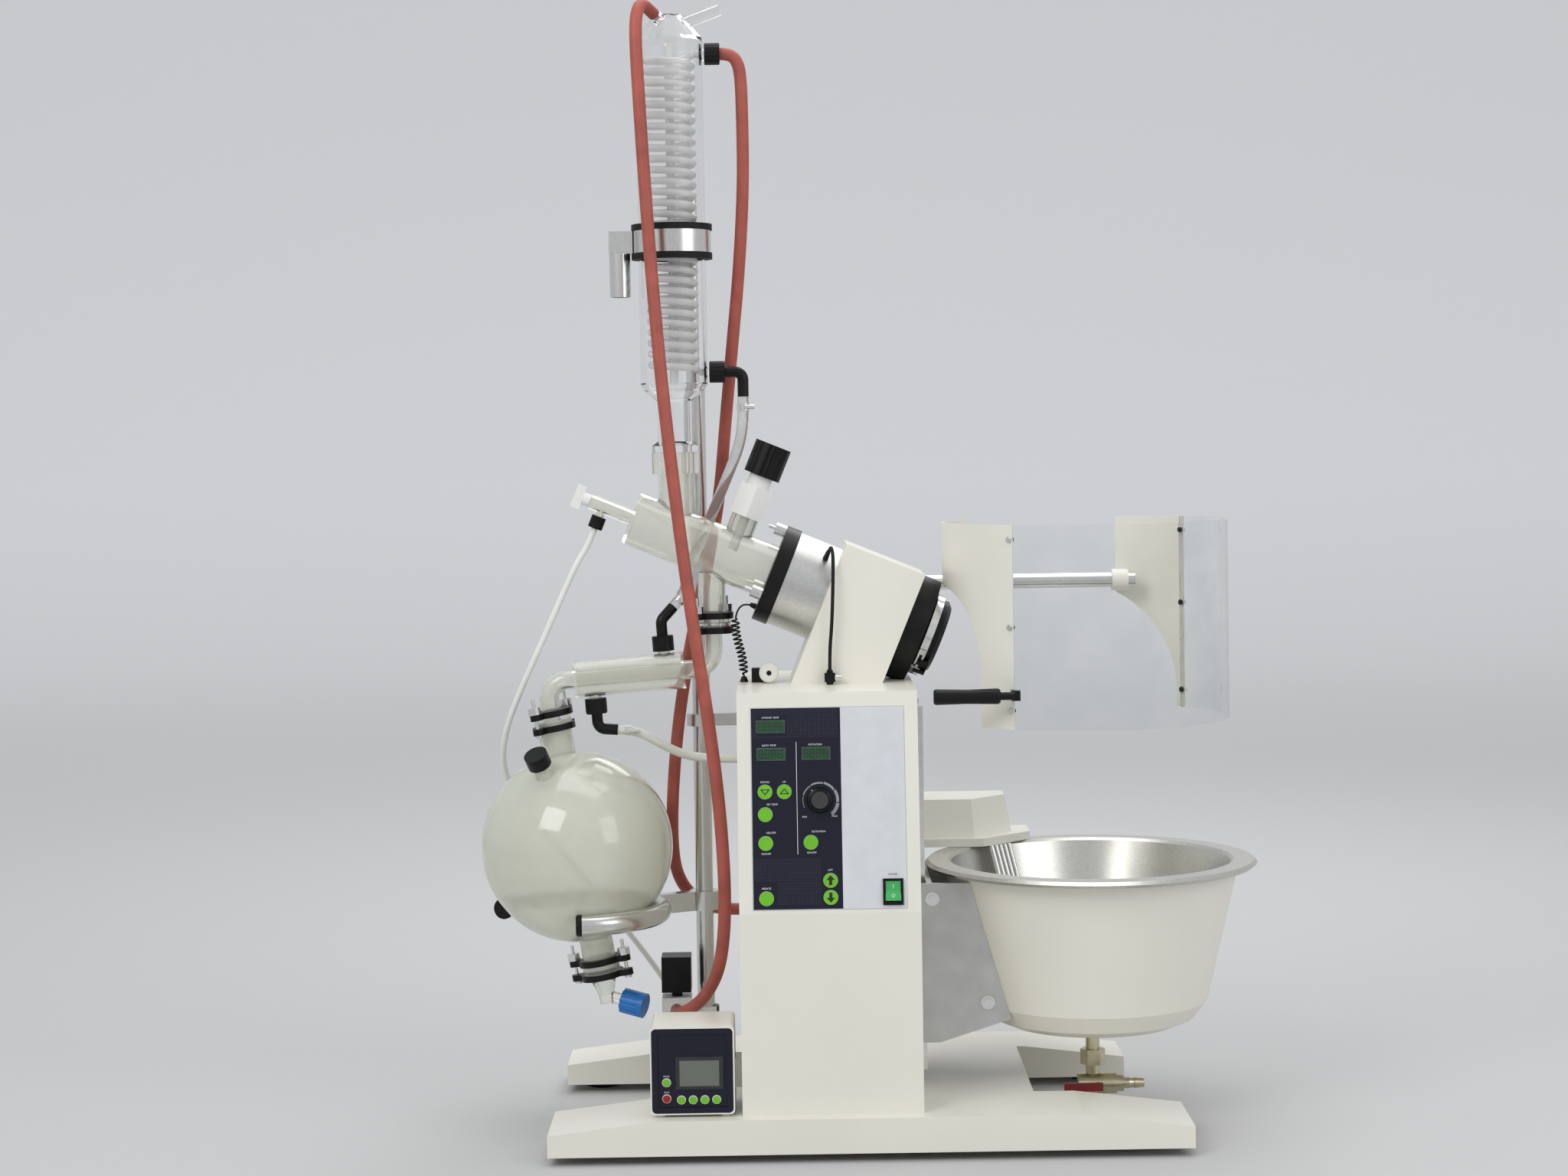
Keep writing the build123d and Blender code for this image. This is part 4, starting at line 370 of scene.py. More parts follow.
def curly(points):
    """Points of a curly lead round a route, straight at both ends."""
    line = route_line(points)
    end = line_length(line) - CURL_TAIL
    made = [point_at(line, CURL_LEAD * step / CURL_LEAD_POINTS) for step in range(CURL_LEAD_POINTS)]
    side = Vector((0, 1, 0))
    count = CURL_TURNS * CURL_STEPS
    for step in range(count + 1):
        distance = CURL_LEAD + (end - CURL_LEAD) * step / count
        way = (point_at(line, distance + 1) - point_at(line, distance - 1)).normalized()
        size = CURL_R * min(1.0, step / CURL_GROW, (count - step) / CURL_GROW)
        turn = math.tau * step / CURL_STEPS
        out = math.cos(turn) * side + math.sin(turn) * way.cross(side)
        made.append(point_at(line, distance) + size * out)
    return made + [point_at(line, end + CURL_TAIL / 2), line[-1]]


def hose(name, points, diameter, look):
    """One hose of the object: its curve, with the CAD tube that it stands for hidden."""
    made = cord_curve(name + "_look", points, diameter, look)
    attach(made, "frame")
    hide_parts(name)


def make_hoses():
    """All free hoses and leads, with the CAD routes' points."""
    hose("red_hose_front", [
        (-288.6, -31.4, 1588.3), (-295.1, -42.4, 1594), (-304, -54, 1600), (-310, -66, 1592),
        (-313, -74, 1572), (-313, -79, 1536), (-310, -83, 1468), (-304, -86, 1350), (-295, -90, 1200),
        (-282, -100, 1040), (-266, -112, 890), (-248, -126, 745), (-228, -138, 612),
        (-213, -146, 490), (-206, -148, 380), (-207, -138, 300), (-216, -112, 236), (-236, -74, 192),
        (-260, -44, 166), (-283.5, -1.5, 150), (-283.5, 34.5, 150),
    ], 18, RED)
    hose("red_hose_right", [
        (-197, 0, 1535), (-182, 0, 1535), (-171, 1, 1523), (-167, 3, 1499), (-166, 6, 1440),
        (-166, 12, 1350), (-174, 22, 1230), (-186, 34, 1120), (-198, 52, 1010), (-208, 80, 910),
        (-220, 80, 840), (-238, 64, 760), (-258, 62, 670), (-275, 66, 570), (-285, 74, 470),
        (-288, 92, 396), (-284, 112, 340), (-264, 128, 304), (-236, 135, 285), (-210.5, 136, 280),
        (-184.5, 136, 280),
    ], 18, RED)
    hose("braided_hose", [
        (-171, 0, 1044), (-171, 0, 1010), (-178, 20, 972), (-196, 44, 930), (-214, 54, 888),
        (-234, 58, 842), (-254, 44, 798), (-259.9, 16, 761.1), (-277.4, 8, 742.1),
    ], 16, BRAID)
    hose("cooler_hose", [
        (-359.9, 0, 566.1), (-331.4, 0, 564.1), (-302, 6, 546), (-268, 20, 526), (-226.5, 32, 518),
        (-184.5, 32, 518),
    ], 13, SILICONE)
    hose("feed_tube", [
        (-388.2, 0, 857.7), (-399.7, 0, 830), (-414, 0, 810), (-442, 0, 750), (-472, 2, 684),
        (-502, 14, 622), (-526, 36, 564), (-536, 74, 512), (-524, 118, 464), (-492, 152, 412),
        (-448, 170, 352), (-398, 172, 292), (-350, 162, 232), (-318, 154, 190), (-295.5, 135.5, 160),
        (-283.5, 115.5, 150), (-283.5, 89.5, 150),
    ], 9, PTFE)
    hose("sensor_cable", [
        (-56.9, -49.5, 810.9), (-52, -62.2, 822.7), (-49, -79, 829), (-47, -92, 820), (-47, -97, 800),
        (-48, -99, 766), (-50, -99, 720), (-54, -97, 680), (-54, -97, 635),
    ], 5, RUBBER)
    curls = curly([
        (-156.7, -30, 742.4), (-173.4, -30, 749.3), (-185, -30, 738), (-188, -30, 718),
        (-185, -30, 696), (-178, -30, 672), (-176, -30, 653), (-176, -30, 635),
    ])
    run = line_length(route_line(curls)) * MM
    hose("coil_cord", curls, CURL_WIRE, RUBBER)


def keep(made, body):
    """Puts a new piece in the scene, on a body."""
    bpy.context.collection.objects.link(made)
    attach(made, body)
    return made


def from_bmesh(name, form, look, body):
    """Turns a bmesh in millimetres into a smooth piece."""
    bmesh.ops.scale(form, vec=(MM, MM, MM), verts=form.verts)
    mesh = bpy.data.meshes.new(name)
    form.to_mesh(mesh)
    form.free()
    mesh.materials.append(look)
    mesh.polygons.foreach_set("use_smooth", [True] * len(mesh.polygons))
    mesh.set_sharp_from_angle(angle=SHARP_ANGLE)
    return keep(bpy.data.objects.new(name, mesh), body)


def along(start, end):
    """Matrix with its origin halfway and its third axis from start to end."""
    start, end = Vector(start), Vector(end)
    turn = (end - start).to_track_quat("Z", "Y").to_matrix().to_4x4()
    return Matrix.Translation((start + end) / 2) @ turn


def stub(name, start, end, radius, look, body, slot_name, ribs=0, tip=None, bevel=0.6):
    """Round piece from one point to another, plain or ribbed."""
    form = bmesh.new()
    length = (Vector(end) - Vector(start)).length
    sides = ribs * RIB_STEPS if ribs else ROUND_SIDES
    bmesh.ops.create_cone(
        form, cap_ends=True, segments=sides, radius1=radius, radius2=tip or radius, depth=length
    )
    if ribs:
        for vert in form.verts:
            step = round(math.atan2(vert.co.y, vert.co.x) * sides / math.tau) % RIB_STEPS
            if step < RIB_STEPS / 2:
                vert.co.xy *= RIB_DEPTH
    else:
        rims = [edge for edge in form.edges if abs(edge.verts[0].co.z - edge.verts[1].co.z) < LEVEL]
        bmesh.ops.bevel(form, geom=rims, offset=bevel, segments=2, affect="EDGES")
    bmesh.ops.transform(form, matrix=along(start, end), verts=form.verts)
    return from_bmesh(name, form, look, body)


def box(name, size, place, look, body, bevel=0.8):
    """Box with broken edges, placed by a matrix in millimetres."""
    form = bmesh.new()
    bmesh.ops.create_cube(form, size=1)
    bmesh.ops.scale(form, vec=size, verts=form.verts)
    bmesh.ops.bevel(form, geom=form.edges[:], offset=bevel, segments=2, affect="EDGES")
    bmesh.ops.transform(form, matrix=place, verts=form.verts)
    return from_bmesh(name, form, look, body)


def plate(name, loops, place, thick, look, body):
    """Thin flat piece with holes, from outlines in millimetres."""
    data = bpy.data.curves.new(name, "CURVE")
    data.dimensions = "2D"
    data.fill_mode = "BOTH"
    data.extrude = thick * MM / 2
    for loop in loops:
        spline = data.splines.new("POLY")
        spline.points.add(len(loop) - 1)
        for point, (x, y) in zip(spline.points, loop):
            point.co = (x * MM, y * MM, 0, 1)
        spline.use_cyclic_u = True
    data.materials.append(look)
    made = bpy.data.objects.new(name, data)
    made.matrix_world = metric(place)
    return keep(made, body)


def metric(place):
    """The same matrix with its origin in metres."""
    made = place.copy()
    made.translation = place.translation * MM
    return made


def words(name, text, place, height, look, body):
    """Small plain word, centred on its place."""
    data = bpy.data.curves.new(name, "FONT")
    data.body = text
    data.size = height * MM * LETTER_SCALE
    data.align_x = "CENTER"
    data.align_y = "CENTER"
    data.extrude = LETTER_THICK
    data.materials.append(look)
    made = bpy.data.objects.new(name, data)
    made.matrix_world = metric(place)
    return keep(made, body)


def circle(x, y, radius, count=40, start=0.0, sweep=360.0):
    """Points on a circle or part of one."""
    last = count if sweep == 360.0 else count - 1
    return [
        (x + radius * math.cos(math.radians(start + sweep * step / last)),
         y + radius * math.sin(math.radians(start + sweep * step / last)))
        for step in range(count)
    ]


def rectangle(left, top, right, bottom):
    """Corners of a rectangle given downward from the panel's top."""
    return [(left, -top), (right, -top), (right, -bottom), (left, -bottom)]


def upright(left, low, right, high):
    """Corners of a rectangle given upward from the controller's foot."""
    return [(left, low), (right, low), (right, high), (left, high)]


def band(x, y, inner, outer, start, sweep):
    """Outline of part of a ring."""
    out = circle(x, y, outer, ARC_STEPS, start, sweep)
    return out + circle(x, y, inner, ARC_STEPS, start + sweep, -sweep)


# Panel frame: its upper left corner, leaning back with the tower's front
TOWER_TOP = 635.0
TOWER_BEND = 336.0
TOWER_LEAN = 40.0
TOWER_FRONT_TOP = -210.0
PANEL_LEFT = -165.5
PANEL_DROP = 21.0
PANEL_LEAN = math.atan2(TOWER_LEAN, TOWER_TOP - TOWER_BEND)
PANEL_AXES = Matrix((
    (1, 0, 0, PANEL_LEFT),
    (0, math.sin(PANEL_LEAN), -math.cos(PANEL_LEAN), TOWER_FRONT_TOP - PANEL_DROP * math.sin(PANEL_LEAN)),
    (0, math.cos(PANEL_LEAN), math.sin(PANEL_LEAN), TOWER_TOP - PANEL_DROP * math.cos(PANEL_LEAN)),
    (0, 0, 0, 1),
))

# Heights of the panel's layers above its plane, and the layers' thickness
PANEL_FACE = 0.8
KEY_FACE = 1.8
POWER_OUT = PANEL_FACE + 0.08
NAVY_OUT = PANEL_FACE + 0.1
DOTS_OUT = PANEL_FACE + 0.18
SCALE_OUT = PANEL_FACE + 0.2
WORDS_OUT = PANEL_FACE + 0.22
WINDOW_OUT = 1.5
DIGIT_OUT = 1.58
KEY_OUT = KEY_FACE + 0.08
MARK_OUT = KEY_FACE + 0.2
SWITCH_OUT = 3.6
INK_FILM = 0.04
LINE_FILM = 0.06
WINDOW_FILM = 0.1
NAVY_FILM = 0.12
KEY_FILM = 0.16
SWITCH_FILM = 0.6

# What is on the panel, measured from its upper left corner
NAVY_WIDTH = 122.7
PANEL_HEIGHT = 275.0
PRINT_MARGIN = 0.6
DOT_STEP = 2.6
DOT_SIZE = 1.0
DOT_AREAS = ((3, 3, 120, 43), (3, 206, 96, 238), (34, 238, 96, 271))
DOT_GAP = (6, 10, 49, 37)
DIVIDER = (61.6, 47, 62.3, 200)
WINDOWS = ((27.0, 25.7), (27.5, 63.5), (89.0, 63.0))
WINDOW_HALF = (19.4, 8.4)
DIGITS = 4
DIGIT_START = 17.2
DIGIT_PITCH = 8.8
DIGIT_WIDTH = 6.6
DIGIT_HALF = 5.6
STROKE = 1.2
KNOB_AT = (93.0, 127.0)
KNOB_HOLE_R = 3.6
KNOB_TURN = math.radians(38)
KNOB_DISC = (20, 20.6, 11.6)
POINTER_SIZE = (0.9, 7.5, 0.5)
POINTER_AT = (0, 14.2, 7.0)
SCALE_R = 22.6
SCALE_MARKS = 6
SCALE_START = 205
SCALE_STEP = 43
SCALE_SWEEP = -40
SCALE_WIDTH = 0.8
SCALE_GROWTH = 0.75
WORD_HEIGHT = 2.7
POWER_AT = (191, 229)
SWITCH_AT = (191, 252)
SWITCH_OUTER = (177, 234.5, 205, 270.5)
SWITCH_INNER = (180.8, 237.8, 201.2, 266.4)
ROCKER_REST = -7
ROCKER_SLOPE = 9
ROCKER_MARK = (6.5, 4.25)
KEY_R = 9.8
TRIANGLE = ((-7, -3.4), (7, -3.4), (0, 4.6))
TRIANGLE_HOLE = ((-4, -2.2), (4, -2.2), (0, 2.6))
ARROW = ((-2.2, -6.5), (2.2, -6.5), (2.2, 0.5), (6, 0.5), (0, 7), (-6, 0.5), (-2.2, 0.5))
MARKS = (
    ("down", -1, (TRIANGLE, TRIANGLE_HOLE)), ("up", 1, (TRIANGLE, TRIANGLE_HOLE)),
    ("lift_up", 1, (ARROW,)), ("lift_down", -1, (ARROW,)),
)
KEYS = {
    "down": (18.4, 114.7), "up": (44.8, 114.7), "set": (18.4, 145.5), "heater": (18.4, 184.6),
    "rotation": (80.0, 184.0), "aerate": (18.4, 259.5), "lift_up": (106.0, 236.0),
    "lift_down": (106.0, 259.0),
}
LABELS = {
    "down": (18.4, 101.5, "DOWN"), "up": (44.8, 101.5, "UP"), "set": (28, 132, "SET TEMP"),
    "heater": (26, 170.5, "HEATER"), "heater_on": (19, 199, "ON/OFF"), "rotation": (91, 169.5, "ROTATION"),
    "rotation_on": (81, 198, "ON/OFF"), "lift": (106, 222, "LIFT"), "aerate": (18.4, 246, "AERATE"),
    "vapour": (27, 13.5, "VAPOUR TEMP"), "bath": (25, 51.5, "BATH TEMP"), "speed": (88, 51, "ROTATION"),
    "least": (72, 149.5, "MIN"), "most": (113, 149, "MAX"),
}


def on_panel(x, down, out):
    """Matrix on the panel at a place measured from its upper left corner."""
    return PANEL_AXES @ Matrix.Translation((x, -down, out))


def printed(name, loops, out, thick, look):
    """Flat print or foil on the control panel."""
    return plate(name, loops, on_panel(0, 0, out), thick, look, "frame")


def panel_areas():
    """Navy area with the knob's hole, dotted fields and dividing line."""
    area = rectangle(PRINT_MARGIN, PRINT_MARGIN, NAVY_WIDTH, PANEL_HEIGHT - PRINT_MARGIN)
    hole = circle(KNOB_AT[0], -KNOB_AT[1], KNOB_HOLE_R)
    printed("print_navy", [area, hole], NAVY_OUT, NAVY_FILM, NAVY)
    for index, (left, top, right, bottom) in enumerate(DOT_AREAS):
        dots = []
        for row in range(int((bottom - top) / DOT_STEP)):
            for column in range(int((right - left) / DOT_STEP)):
                x, y = left + DOT_STEP * column, top + DOT_STEP * row
                if not (DOT_GAP[0] < x < DOT_GAP[2] and DOT_GAP[1] < y < DOT_GAP[3]):
                    dots.append(rectangle(x, y, x + DOT_SIZE, y + DOT_SIZE))
        printed(f"print_dots_{index}", dots, DOTS_OUT, INK_FILM, DOTS)
    printed("print_line", [rectangle(*DIVIDER)], DOTS_OUT, LINE_FILM, WHITE_INK)


def read_outs():
    """Green windows, each with faint digits."""
    wide, high = WINDOW_HALF
    for index, (x, y) in enumerate(WINDOWS):
        window = rectangle(x - wide, y - high, x + wide, y + high)
        printed(f"read_out_{index}", [window], WINDOW_OUT, WINDOW_FILM, DISPLAY)
        for digit in range(DIGITS):
            left = x - DIGIT_START + digit * DIGIT_PITCH
            inner, right = left + STROKE, left + DIGIT_WIDTH - STROKE
            loops = [
                rectangle(left, y - DIGIT_HALF, left + DIGIT_WIDTH, y + DIGIT_HALF),
                rectangle(inner, y - DIGIT_HALF + STROKE, right, y - STROKE / 2),
                rectangle(inner, y + STROKE / 2, right, y + DIGIT_HALF - STROKE),
            ]
            printed(f"read_out_{index}_{digit}", loops, DIGIT_OUT, INK_FILM, SEGMENT)


def panel_keys():
    """Green keys, and the black marks on four of them."""
    for name, (x, y) in KEYS.items():
        disc = circle(x, -y, KEY_R, KEY_STEPS)
        printed(f"key_{name}", [disc], KEY_OUT, KEY_FILM, KEY_GREEN)
    for name, way, outlines in MARKS:
        x, y = KEYS[name]
        loops = [[(x + across, -y + up * way) for across, up in outline] for outline in outlines]
        printed(f"mark_{name}", loops, MARK_OUT, INK_FILM, INK)


def panel_print():
    """Printed areas, keys, windows, scale, plain words, knob and switch of the control panel."""
    panel_areas()
    read_outs()
    panel_keys()
    for index in range(SCALE_MARKS):
        outer = SCALE_R + SCALE_WIDTH + SCALE_GROWTH * index
        arc = band(KNOB_AT[0], -KNOB_AT[1], SCALE_R, outer, SCALE_START - SCALE_STEP * index, SCALE_SWEEP)
        printed(f"scale_{index}", [arc], SCALE_OUT, LINE_FILM, SCALE_GREY)
    for name, (x, y, text) in LABELS.items():
        place = on_panel(x, y, WORDS_OUT)
        words(f"word_{name}", text, place, WORD_HEIGHT, WHITE_INK, "frame")
    words("word_power", "POWER", on_panel(*POWER_AT, POWER_OUT), WORD_HEIGHT, INK, "frame")
    knob = on_panel(*KNOB_AT, 0) @ Matrix.Rotation(KNOB_TURN, 4, "Z")
    pointer = knob @ Matrix.Translation(POINTER_AT)
    box("knob_pointer", POINTER_SIZE, pointer, WHITE_INK, "knob", 0.1)
    low, high, radius = KNOB_DISC
    start, end = knob @ Vector((0, 0, low)), knob @ Vector((0, 0, high))
    stub("knob_disc", start, end, radius, KNOB_GREY, "knob", "black_plastic")
    loops = [rectangle(*SWITCH_OUTER), rectangle(*SWITCH_INNER)]
    printed("switch_frame", loops, SWITCH_OUT, SWITCH_FILM, BLACK)


def switch_marks():
    """I and O marks on the rocker's two faces."""
    rocker = on_panel(*SWITCH_AT, 0) @ Matrix.Rotation(math.radians(ROCKER_REST), 4, "X")
    for name, way, loops in (
        ("rocker_on", 1, [upright(-0.5, -2.4, 0.5, 2.4)]),
        ("rocker_off", -1, [circle(0, 0, 2.4), circle(0, 0, 1.6)]),
    ):
        place = rocker @ Matrix.Translation((0, way * ROCKER_MARK[0], ROCKER_MARK[1]))
        place = place @ Matrix.Rotation(math.radians(way * ROCKER_SLOPE), 4, "X")
        plate(name, loops, place, WINDOW_FILM, WHITE_INK, "rocker")


# Controller's face, from its lower left corner, with heights of its layers above the sunk face
CONTROL_LEFT = -309.5
CONTROL_LOW = 64.0
CONTROL_FACE = -253.0
CONTROL_KEYS = ((22, 44), (22, 22), (42, 20), (58, 20), (74, 20), (90, 20))
RED_KEY = 1
CONTROL_WORDS = ((22, 52.5, "START"), (22, 30.5, "STOP"))
CONTROL_WORD_HEIGHT = 2.2
CONTROL_KEY_R = 5.3
CONTROL_HOLE_R = 6.2
RIM_CORNERS = ((107, 112, 0), (8, 112, 90), (8, 8, 180), (107, 8, 270))
RIM_ROUND = 6.0
RIM_STEPS = 8
FACE_OUT = 0.12
CONTROL_WORD_OUT = 0.26
BEZEL_OUT = 1.3
LCD_OUT = 1.42
CONTROL_KEY_OUT = 1.58
RIM_OUT = 2.12
FACE_FILM = 0.2
CONTROL_KEY_FILM = 0.14


def on_control(across, up, out):
    """Matrix on the controller's face."""
    return Matrix((
        (1, 0, 0, CONTROL_LEFT + across), (0, 0, -1, CONTROL_FACE - out), (0, 1, 0, CONTROL_LOW + up),
        (0, 0, 0, 1),
    ))


def control_print(name, loops, out, thick, look):
    """Flat piece on the controller's face."""
    return plate(name, loops, on_control(0, 0, out), thick, look, "frame")


def controller_face():
    """Navy face, read-out and coloured keys of the vacuum controller."""
    holes = [circle(x, y, CONTROL_HOLE_R) for x, y in CONTROL_KEYS] + [upright(35, 35, 99, 79)]
    control_print("control_face", [upright(9, 9, 106, 111), *holes], FACE_OUT, FACE_FILM, NAVY)
    rim = [
        point for x, y, start in RIM_CORNERS for point in circle(x, y, RIM_ROUND, RIM_STEPS, start, 90.0)
    ]
    control_print("control_rim", [rim, upright(10, 10, 105, 110)], RIM_OUT, FACE_FILM, NAVY)
    bezel = upright(34.6, 34.6, 99.4, 79.4)
    control_print("control_bezel", [bezel], BEZEL_OUT, WINDOW_FILM, LCD_FRAME)
    control_print("control_lcd", [upright(40, 39, 94, 74)], LCD_OUT, WINDOW_FILM, LCD)
    for index, (x, y) in enumerate(CONTROL_KEYS):
        look = KEY_RED if index == RED_KEY else KEY_GREEN
        disc = circle(x, y, CONTROL_KEY_R)
        name = f"control_key_{index}"
        control_print(name, [disc], CONTROL_KEY_OUT, CONTROL_KEY_FILM, look)
    for index, (x, y, text) in enumerate(CONTROL_WORDS):
        place = on_control(x, y, CONTROL_WORD_OUT)
        words(f"control_word_{index}", text, place, CONTROL_WORD_HEIGHT, WHITE_INK, "frame")


def condenser_glass():
    """Glass cooling coil with its inner tube and feeds, in place of the CAD's closed sleeve."""
    points = [(CONDENSER_X + x, y, z) for x, y, z in COIL_FEED]
    count = COIL_TURNS * COIL_STEPS
    for step in range(count + 1):
        angle = math.tau * step / COIL_STEPS
        points.append((
            CONDENSER_X + COIL_R * math.cos(angle), -COIL_R * math.sin(angle),
            COIL_LOW + (COIL_HIGH - COIL_LOW) * step / count,
        ))
    points += [(CONDENSER_X + x, y, z) for x, y, z in COIL_RETURN]
    route = cord_curve("coil_route", points, COIL_TUBE, COIL_GLASS)
    route.data.resolution_u = 2
    route.data.bevel_resolution = 3
    bpy.context.view_layer.update()
    mesh = bpy.data.meshes.new_from_object(route)
    bpy.data.objects.remove(route)
    coil = keep(bpy.data.objects.new("cooling_coil", mesh), "frame")
    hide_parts("condenser_coil")
    core_points = [(CONDENSER_X + x, y, z) for x, y, z in CORE_POINTS]
    core = cord_curve("coil_core", core_points, CORE_TUBE, COIL_GLASS)
    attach(core, "frame")


def fittings_dress():
    """Ribbed nuts, hose bands and plugs at the hoses' ends."""
    for index, (start, end, radius) in enumerate(NUTS):
        stub(f"nut_ribs_{index}", start, end, radius, BLACK, "frame", "black_plastic", ribs=NUT_RIBS)
    for index, (start, end, radius) in enumerate(BANDS):
        stub(f"hose_band_{index}", start, end, radius, BRIGHT, "frame", "bright_steel", bevel=0.3)
        middle = (Vector(start) + Vector(end)) / 2
        head, tip = [middle + Vector((x, -radius - BAND_SCREW_OUT, 0)) for x in BAND_SCREW_SPAN]
        name = f"hose_band_screw_{index}"
        stub(name, head, tip, BAND_SCREW_R, BRIGHT, "frame", "bright_steel", bevel=0.4)
    for name, start, end, radius, tip in BOOTS:
        stub(name, start, end, radius, BLACK, "frame", "black_plastic", tip=tip)
    stub("top_roller", (-140, -44, 650), (-140, -66, 650), 14, SILICONE, "frame", "white_ptfe", bevel=2.0)
    stub("top_roller_pin", (-140, -64, 650), (-140, -67, 650), 3.6, BLACK, "frame", "black_plastic")
    block_at, plug_at = Matrix.Translation((-154, -36, 645.4)), Matrix.Translation((-54, -97, 645))
    box("top_block", (22, 18, 20), block_at, BLACK, "frame")
    box("lead_plug", (15, 13, 19), plug_at, BLACK, "frame", bevel=3.0)
    stub("lead_plug_tip", (-47, -97, 644), (-37, -97, 644), 4.4, BRIGHT, "frame", "bright_steel")


def lathe(name, outline, place, look, body):
    """Ring turned from a closed outline of radius and height."""
    form = bmesh.new()
    loops = []
    for step in range(LATHE_STEPS):
        turn = math.tau * step / LATHE_STEPS
        loops.append([form.verts.new((r * math.cos(turn), r * math.sin(turn), z)) for r, z in outline])
    for loop, follow in zip(loops, loops[1:] + loops[:1]):
        for index, vert in enumerate(loop):
            form.faces.new((loop[index - 1], follow[index - 1], follow[index], vert))
    bmesh.ops.recalc_face_normals(form, faces=form.faces)
    bmesh.ops.transform(form, matrix=place, verts=form.verts)
    return from_bmesh(name, form, look, body)


# Latch pieces: turn round the axis, distance out, size, look and finish
LATCH = (
    ("latch_strap", 30, 1.4, (2.4, 24, 9.5), BRIGHT, "bright_steel"),
    # The slot is painted shade: a thin black bar on the strap's face stands in for the shade inside the
    # slot, in place of an opening
    ("latch_slot_painted_shade", 32, 2.4, (1.2, 12, 4.5), BLACK, "black_plastic"),
    ("latch_hook", 43, 2.6, (2.6, 16, 3.6), STEEL, "stainless"),
    ("latch_lever", 57, 2.6, (4.2, 20, 14.0), BRIGHT, "bright_steel"),
    # The hole is painted shade: a small black square on the lever's face stands in for the shade inside the
    # hole, in place of an opening
    ("latch_hole_painted_shade", 57, 4.6, (0.5, 2.2, 2.2), BLACK, "black_plastic"),
)
LATCH_BEVEL = 0.2


def clamp_band():
    """Bright band round the flask clamp, with its latch turned to the front."""
    fall, rise = math.cos(HEAD_FALL), math.sin(HEAD_FALL)
    drive = Matrix((
        (0, rise, fall, HEAD_AT[0]), (1, 0, 0, HEAD_AT[1]), (0, fall, -rise, HEAD_AT[2]), (0, 0, 0, 1),
    ))
    outline = upright(BAND_IN, BAND_LOW, BAND_OUT, BAND_HIGH)
    lathe("clamp_band", outline, drive, BRIGHT, "rotor")
    for name, turn, out, size, look, slot_name in LATCH:
        place = drive @ Matrix.Rotation(math.radians(180 + turn), 4, "Z")
        place = place @ Matrix.Translation((CLAMP_R + out, 0, LATCH_ALONG))
        box(name, size, place, look, "rotor", bevel=min(size) * LATCH_BEVEL)


def fasteners():
    """Screw heads and end caps that the CAD leaves to the scene."""
    for side, (angle, levels) in enumerate(SHIELD_SCREWS):
        turn = math.radians(angle)
        out = Vector((math.cos(turn), math.sin(turn), 0))
        for index, z in enumerate(levels):
            for name, (foot, end, radius), look, slot_name in (
                ("screw", SHIELD_HEAD, BRIGHT, "bright_steel"), ("nut", SHIELD_NUT, BLACK, "black_plastic"),
            ):
                axis = Vector((SHIELD_X, 0, z))
                ends = axis + out * foot, axis + out * end
                stub(f"shield_{name}_{side}_{index}", *ends, radius, look, "shield", slot_name)
    for side in (-1, 1):
        out = Vector((0, side, 0))
        for index, (x, z) in enumerate(ARM_SCREWS):
            foot = Vector((x, side * ARM_SIDE, z))
            for name, high, radius in (("washer", 1.4, 10), ("screw", 6, 6.2)):
                piece = f"arm_{name}_{side + 1}_{index}"
                stub(piece, foot, foot + out * high, radius, BRIGHT, "bath", "bright_steel")
    for index, (angle, way) in enumerate(CRADLE_ENDS):
        turn = math.radians(angle)
        foot = Vector((FLASK_X + CRADLE_R * math.cos(turn), CRADLE_R * math.sin(turn), CRADLE_Z))
        along_rod = Vector((math.sin(turn), -math.cos(turn), 0)) * way
        ends = foot - along_rod * 6, foot + along_rod * 4
        stub(f"cradle_cap_{index}", *ends, CRADLE_CAP_R, BLACK, "frame", "black_plastic", bevel=1.5)


def stage_paint():
    """Pale grey floor that turns lighter towards the backdrop."""
    material, tree, shader = new_material("floor_pale")
    shader.inputs["Roughness"].default_value = FLOOR_ROUGH
    coordinates = tree.nodes.new("ShaderNodeTexCoord")
    split = tree.nodes.new("ShaderNodeSeparateXYZ")
    tree.links.new(coordinates.outputs["Object"], split.inputs["Vector"])
    depth = tree.nodes.new("ShaderNodeMapRange")
    for name, value in zip(("From Min", "From Max"), FLOOR_FADE):
        depth.inputs[name].default_value = value
    tree.links.new(split.outputs["Y"], depth.inputs["Value"])
    ramp = tree.nodes.new("ShaderNodeValToRGB")
    ramp.color_ramp.elements[0].color = FLOOR_NEAR
    ramp.color_ramp.elements[1].color = FLOOR_FAR
    tree.links.new(depth.outputs["Result"], ramp.inputs["Fac"])
    tree.links.new(ramp.outputs["Color"], shader.inputs["Base Color"])
    return material


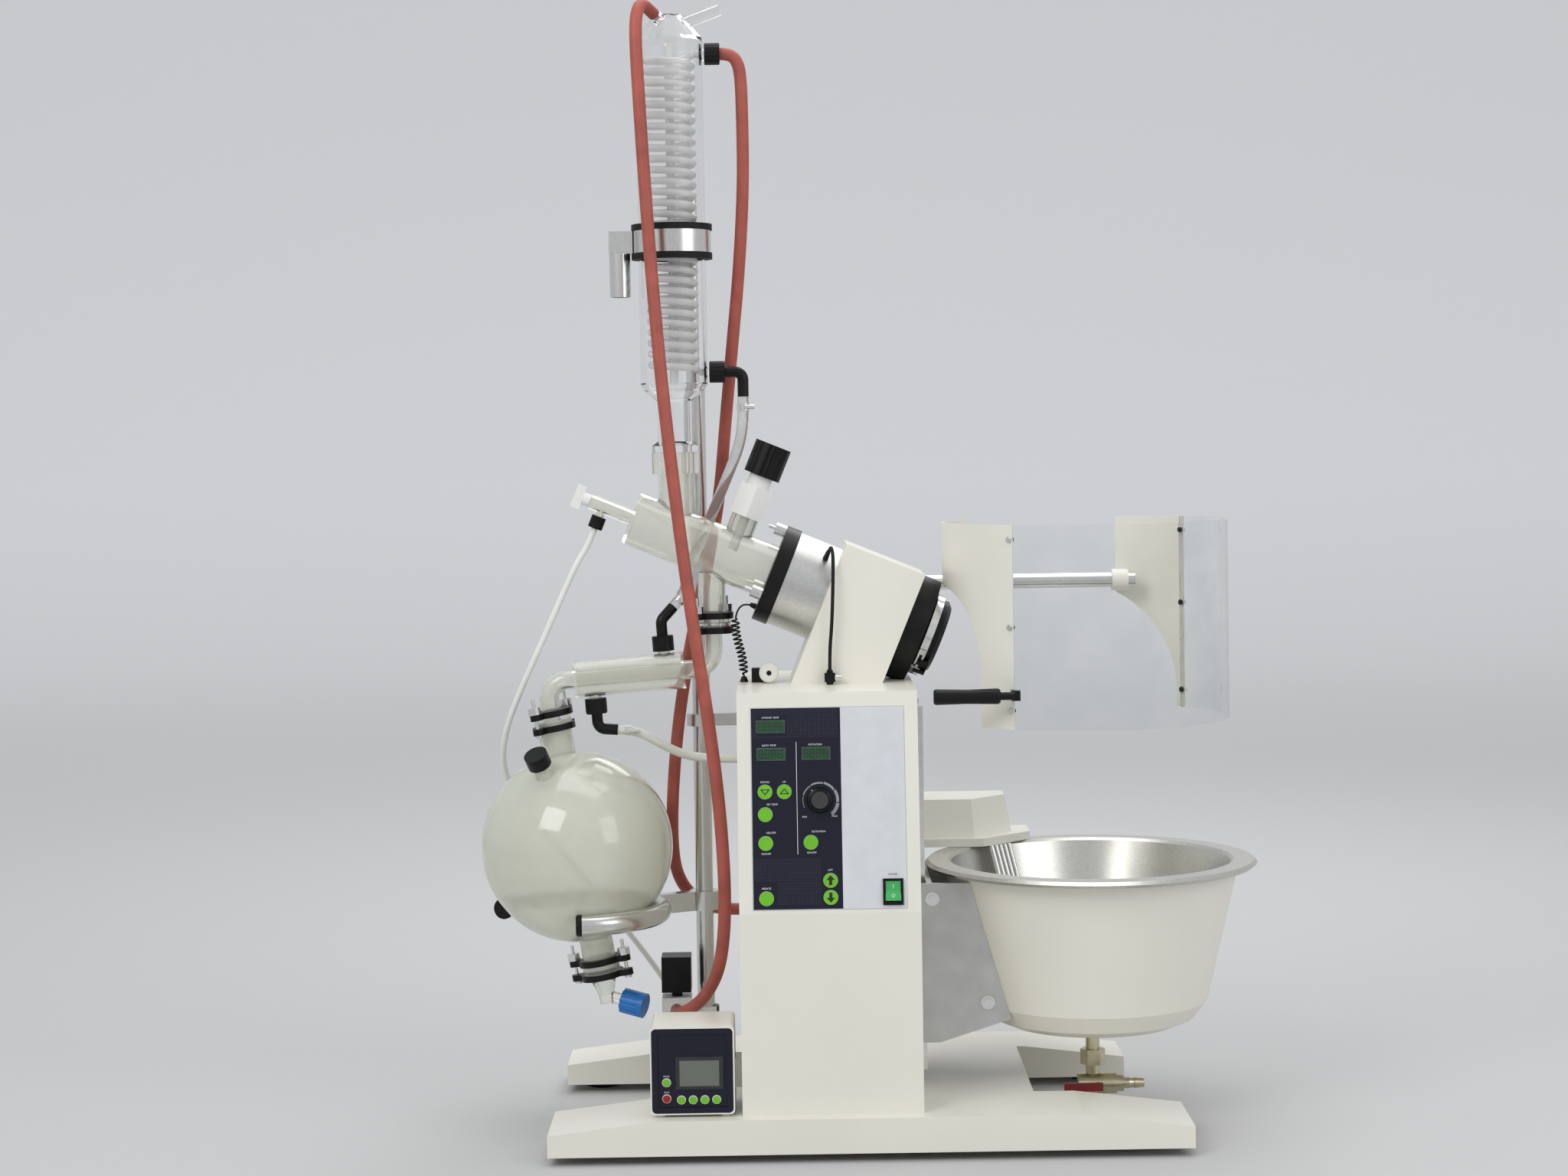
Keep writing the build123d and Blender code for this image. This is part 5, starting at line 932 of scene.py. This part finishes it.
def make_floor():
    """Floor that curves up into the backdrop."""
    bend = STAGE_BACK - STAGE_CURVE
    profile = [(STAGE_FRONT, 0.0), (bend, 0.0)]
    for step in range(1, STAGE_STEPS + 1):
        turn = math.radians(90 * step / STAGE_STEPS)
        profile.append((bend + STAGE_CURVE * math.sin(turn), STAGE_CURVE - STAGE_CURVE * math.cos(turn)))
    profile.append((STAGE_BACK, STAGE_TOP))
    verts = [(x, y, z) for y, z in profile for x in (-STAGE_SIDE, STAGE_SIDE)]
    faces = [(2 * i, 2 * i + 1, 2 * i + 3, 2 * i + 2) for i in range(len(profile) - 1)]
    mesh = bpy.data.meshes.new("floor")
    mesh.from_pydata(verts, [], faces)
    mesh.polygons.foreach_set("use_smooth", [True] * len(mesh.polygons))
    mesh.materials.append(stage_paint())
    floor = bpy.data.objects.new("floor", mesh)
    bpy.context.collection.objects.link(floor)


def make_lights():
    """Even sky and soft lamps."""
    world = bpy.context.scene.world or bpy.data.worlds.new("World")
    bpy.context.scene.world = world
    world.use_nodes = True
    sky = world.node_tree.nodes["Background"]
    sky.inputs["Color"].default_value = SKY_COLOR
    sky.inputs["Strength"].default_value = SKY_STRENGTH
    for name, place, aim, size, power in LAMPS:
        lamp = bpy.data.lights.new(name, "AREA")
        lamp.size = size
        lamp.energy = power
        made = bpy.data.objects.new(name, lamp)
        made.location = place
        made.rotation_euler = (Vector(aim) - Vector(place)).to_track_quat("-Z", "Y").to_euler()
        bpy.context.collection.objects.link(made)


def make_camera():
    """Camera at the photograph's place."""
    lens = bpy.data.cameras.new("photo_camera")
    lens.lens = CAMERA_LENS
    lens.sensor_width = CAMERA_SENSOR
    lens.shift_x, lens.shift_y = CAMERA_SHIFT
    camera = bpy.data.objects.new("photo_camera", lens)
    tilt = Matrix.Rotation(math.radians(90 - CAMERA_TILT), 4, "X")
    roll = Matrix.Rotation(math.radians(CAMERA_ROLL), 4, "Z")
    camera.matrix_world = Matrix.Translation(CAMERA_AT) @ tilt @ roll
    bpy.context.collection.objects.link(camera)
    bpy.context.scene.camera = camera
    bpy.context.scene.view_settings.view_transform = "Standard"


dress_nodes()
make_hoses()
panel_print()
switch_marks()
controller_face()
condenser_glass()
fittings_dress()
clamp_band()
fasteners()
make_floor()
make_lights()
make_camera()
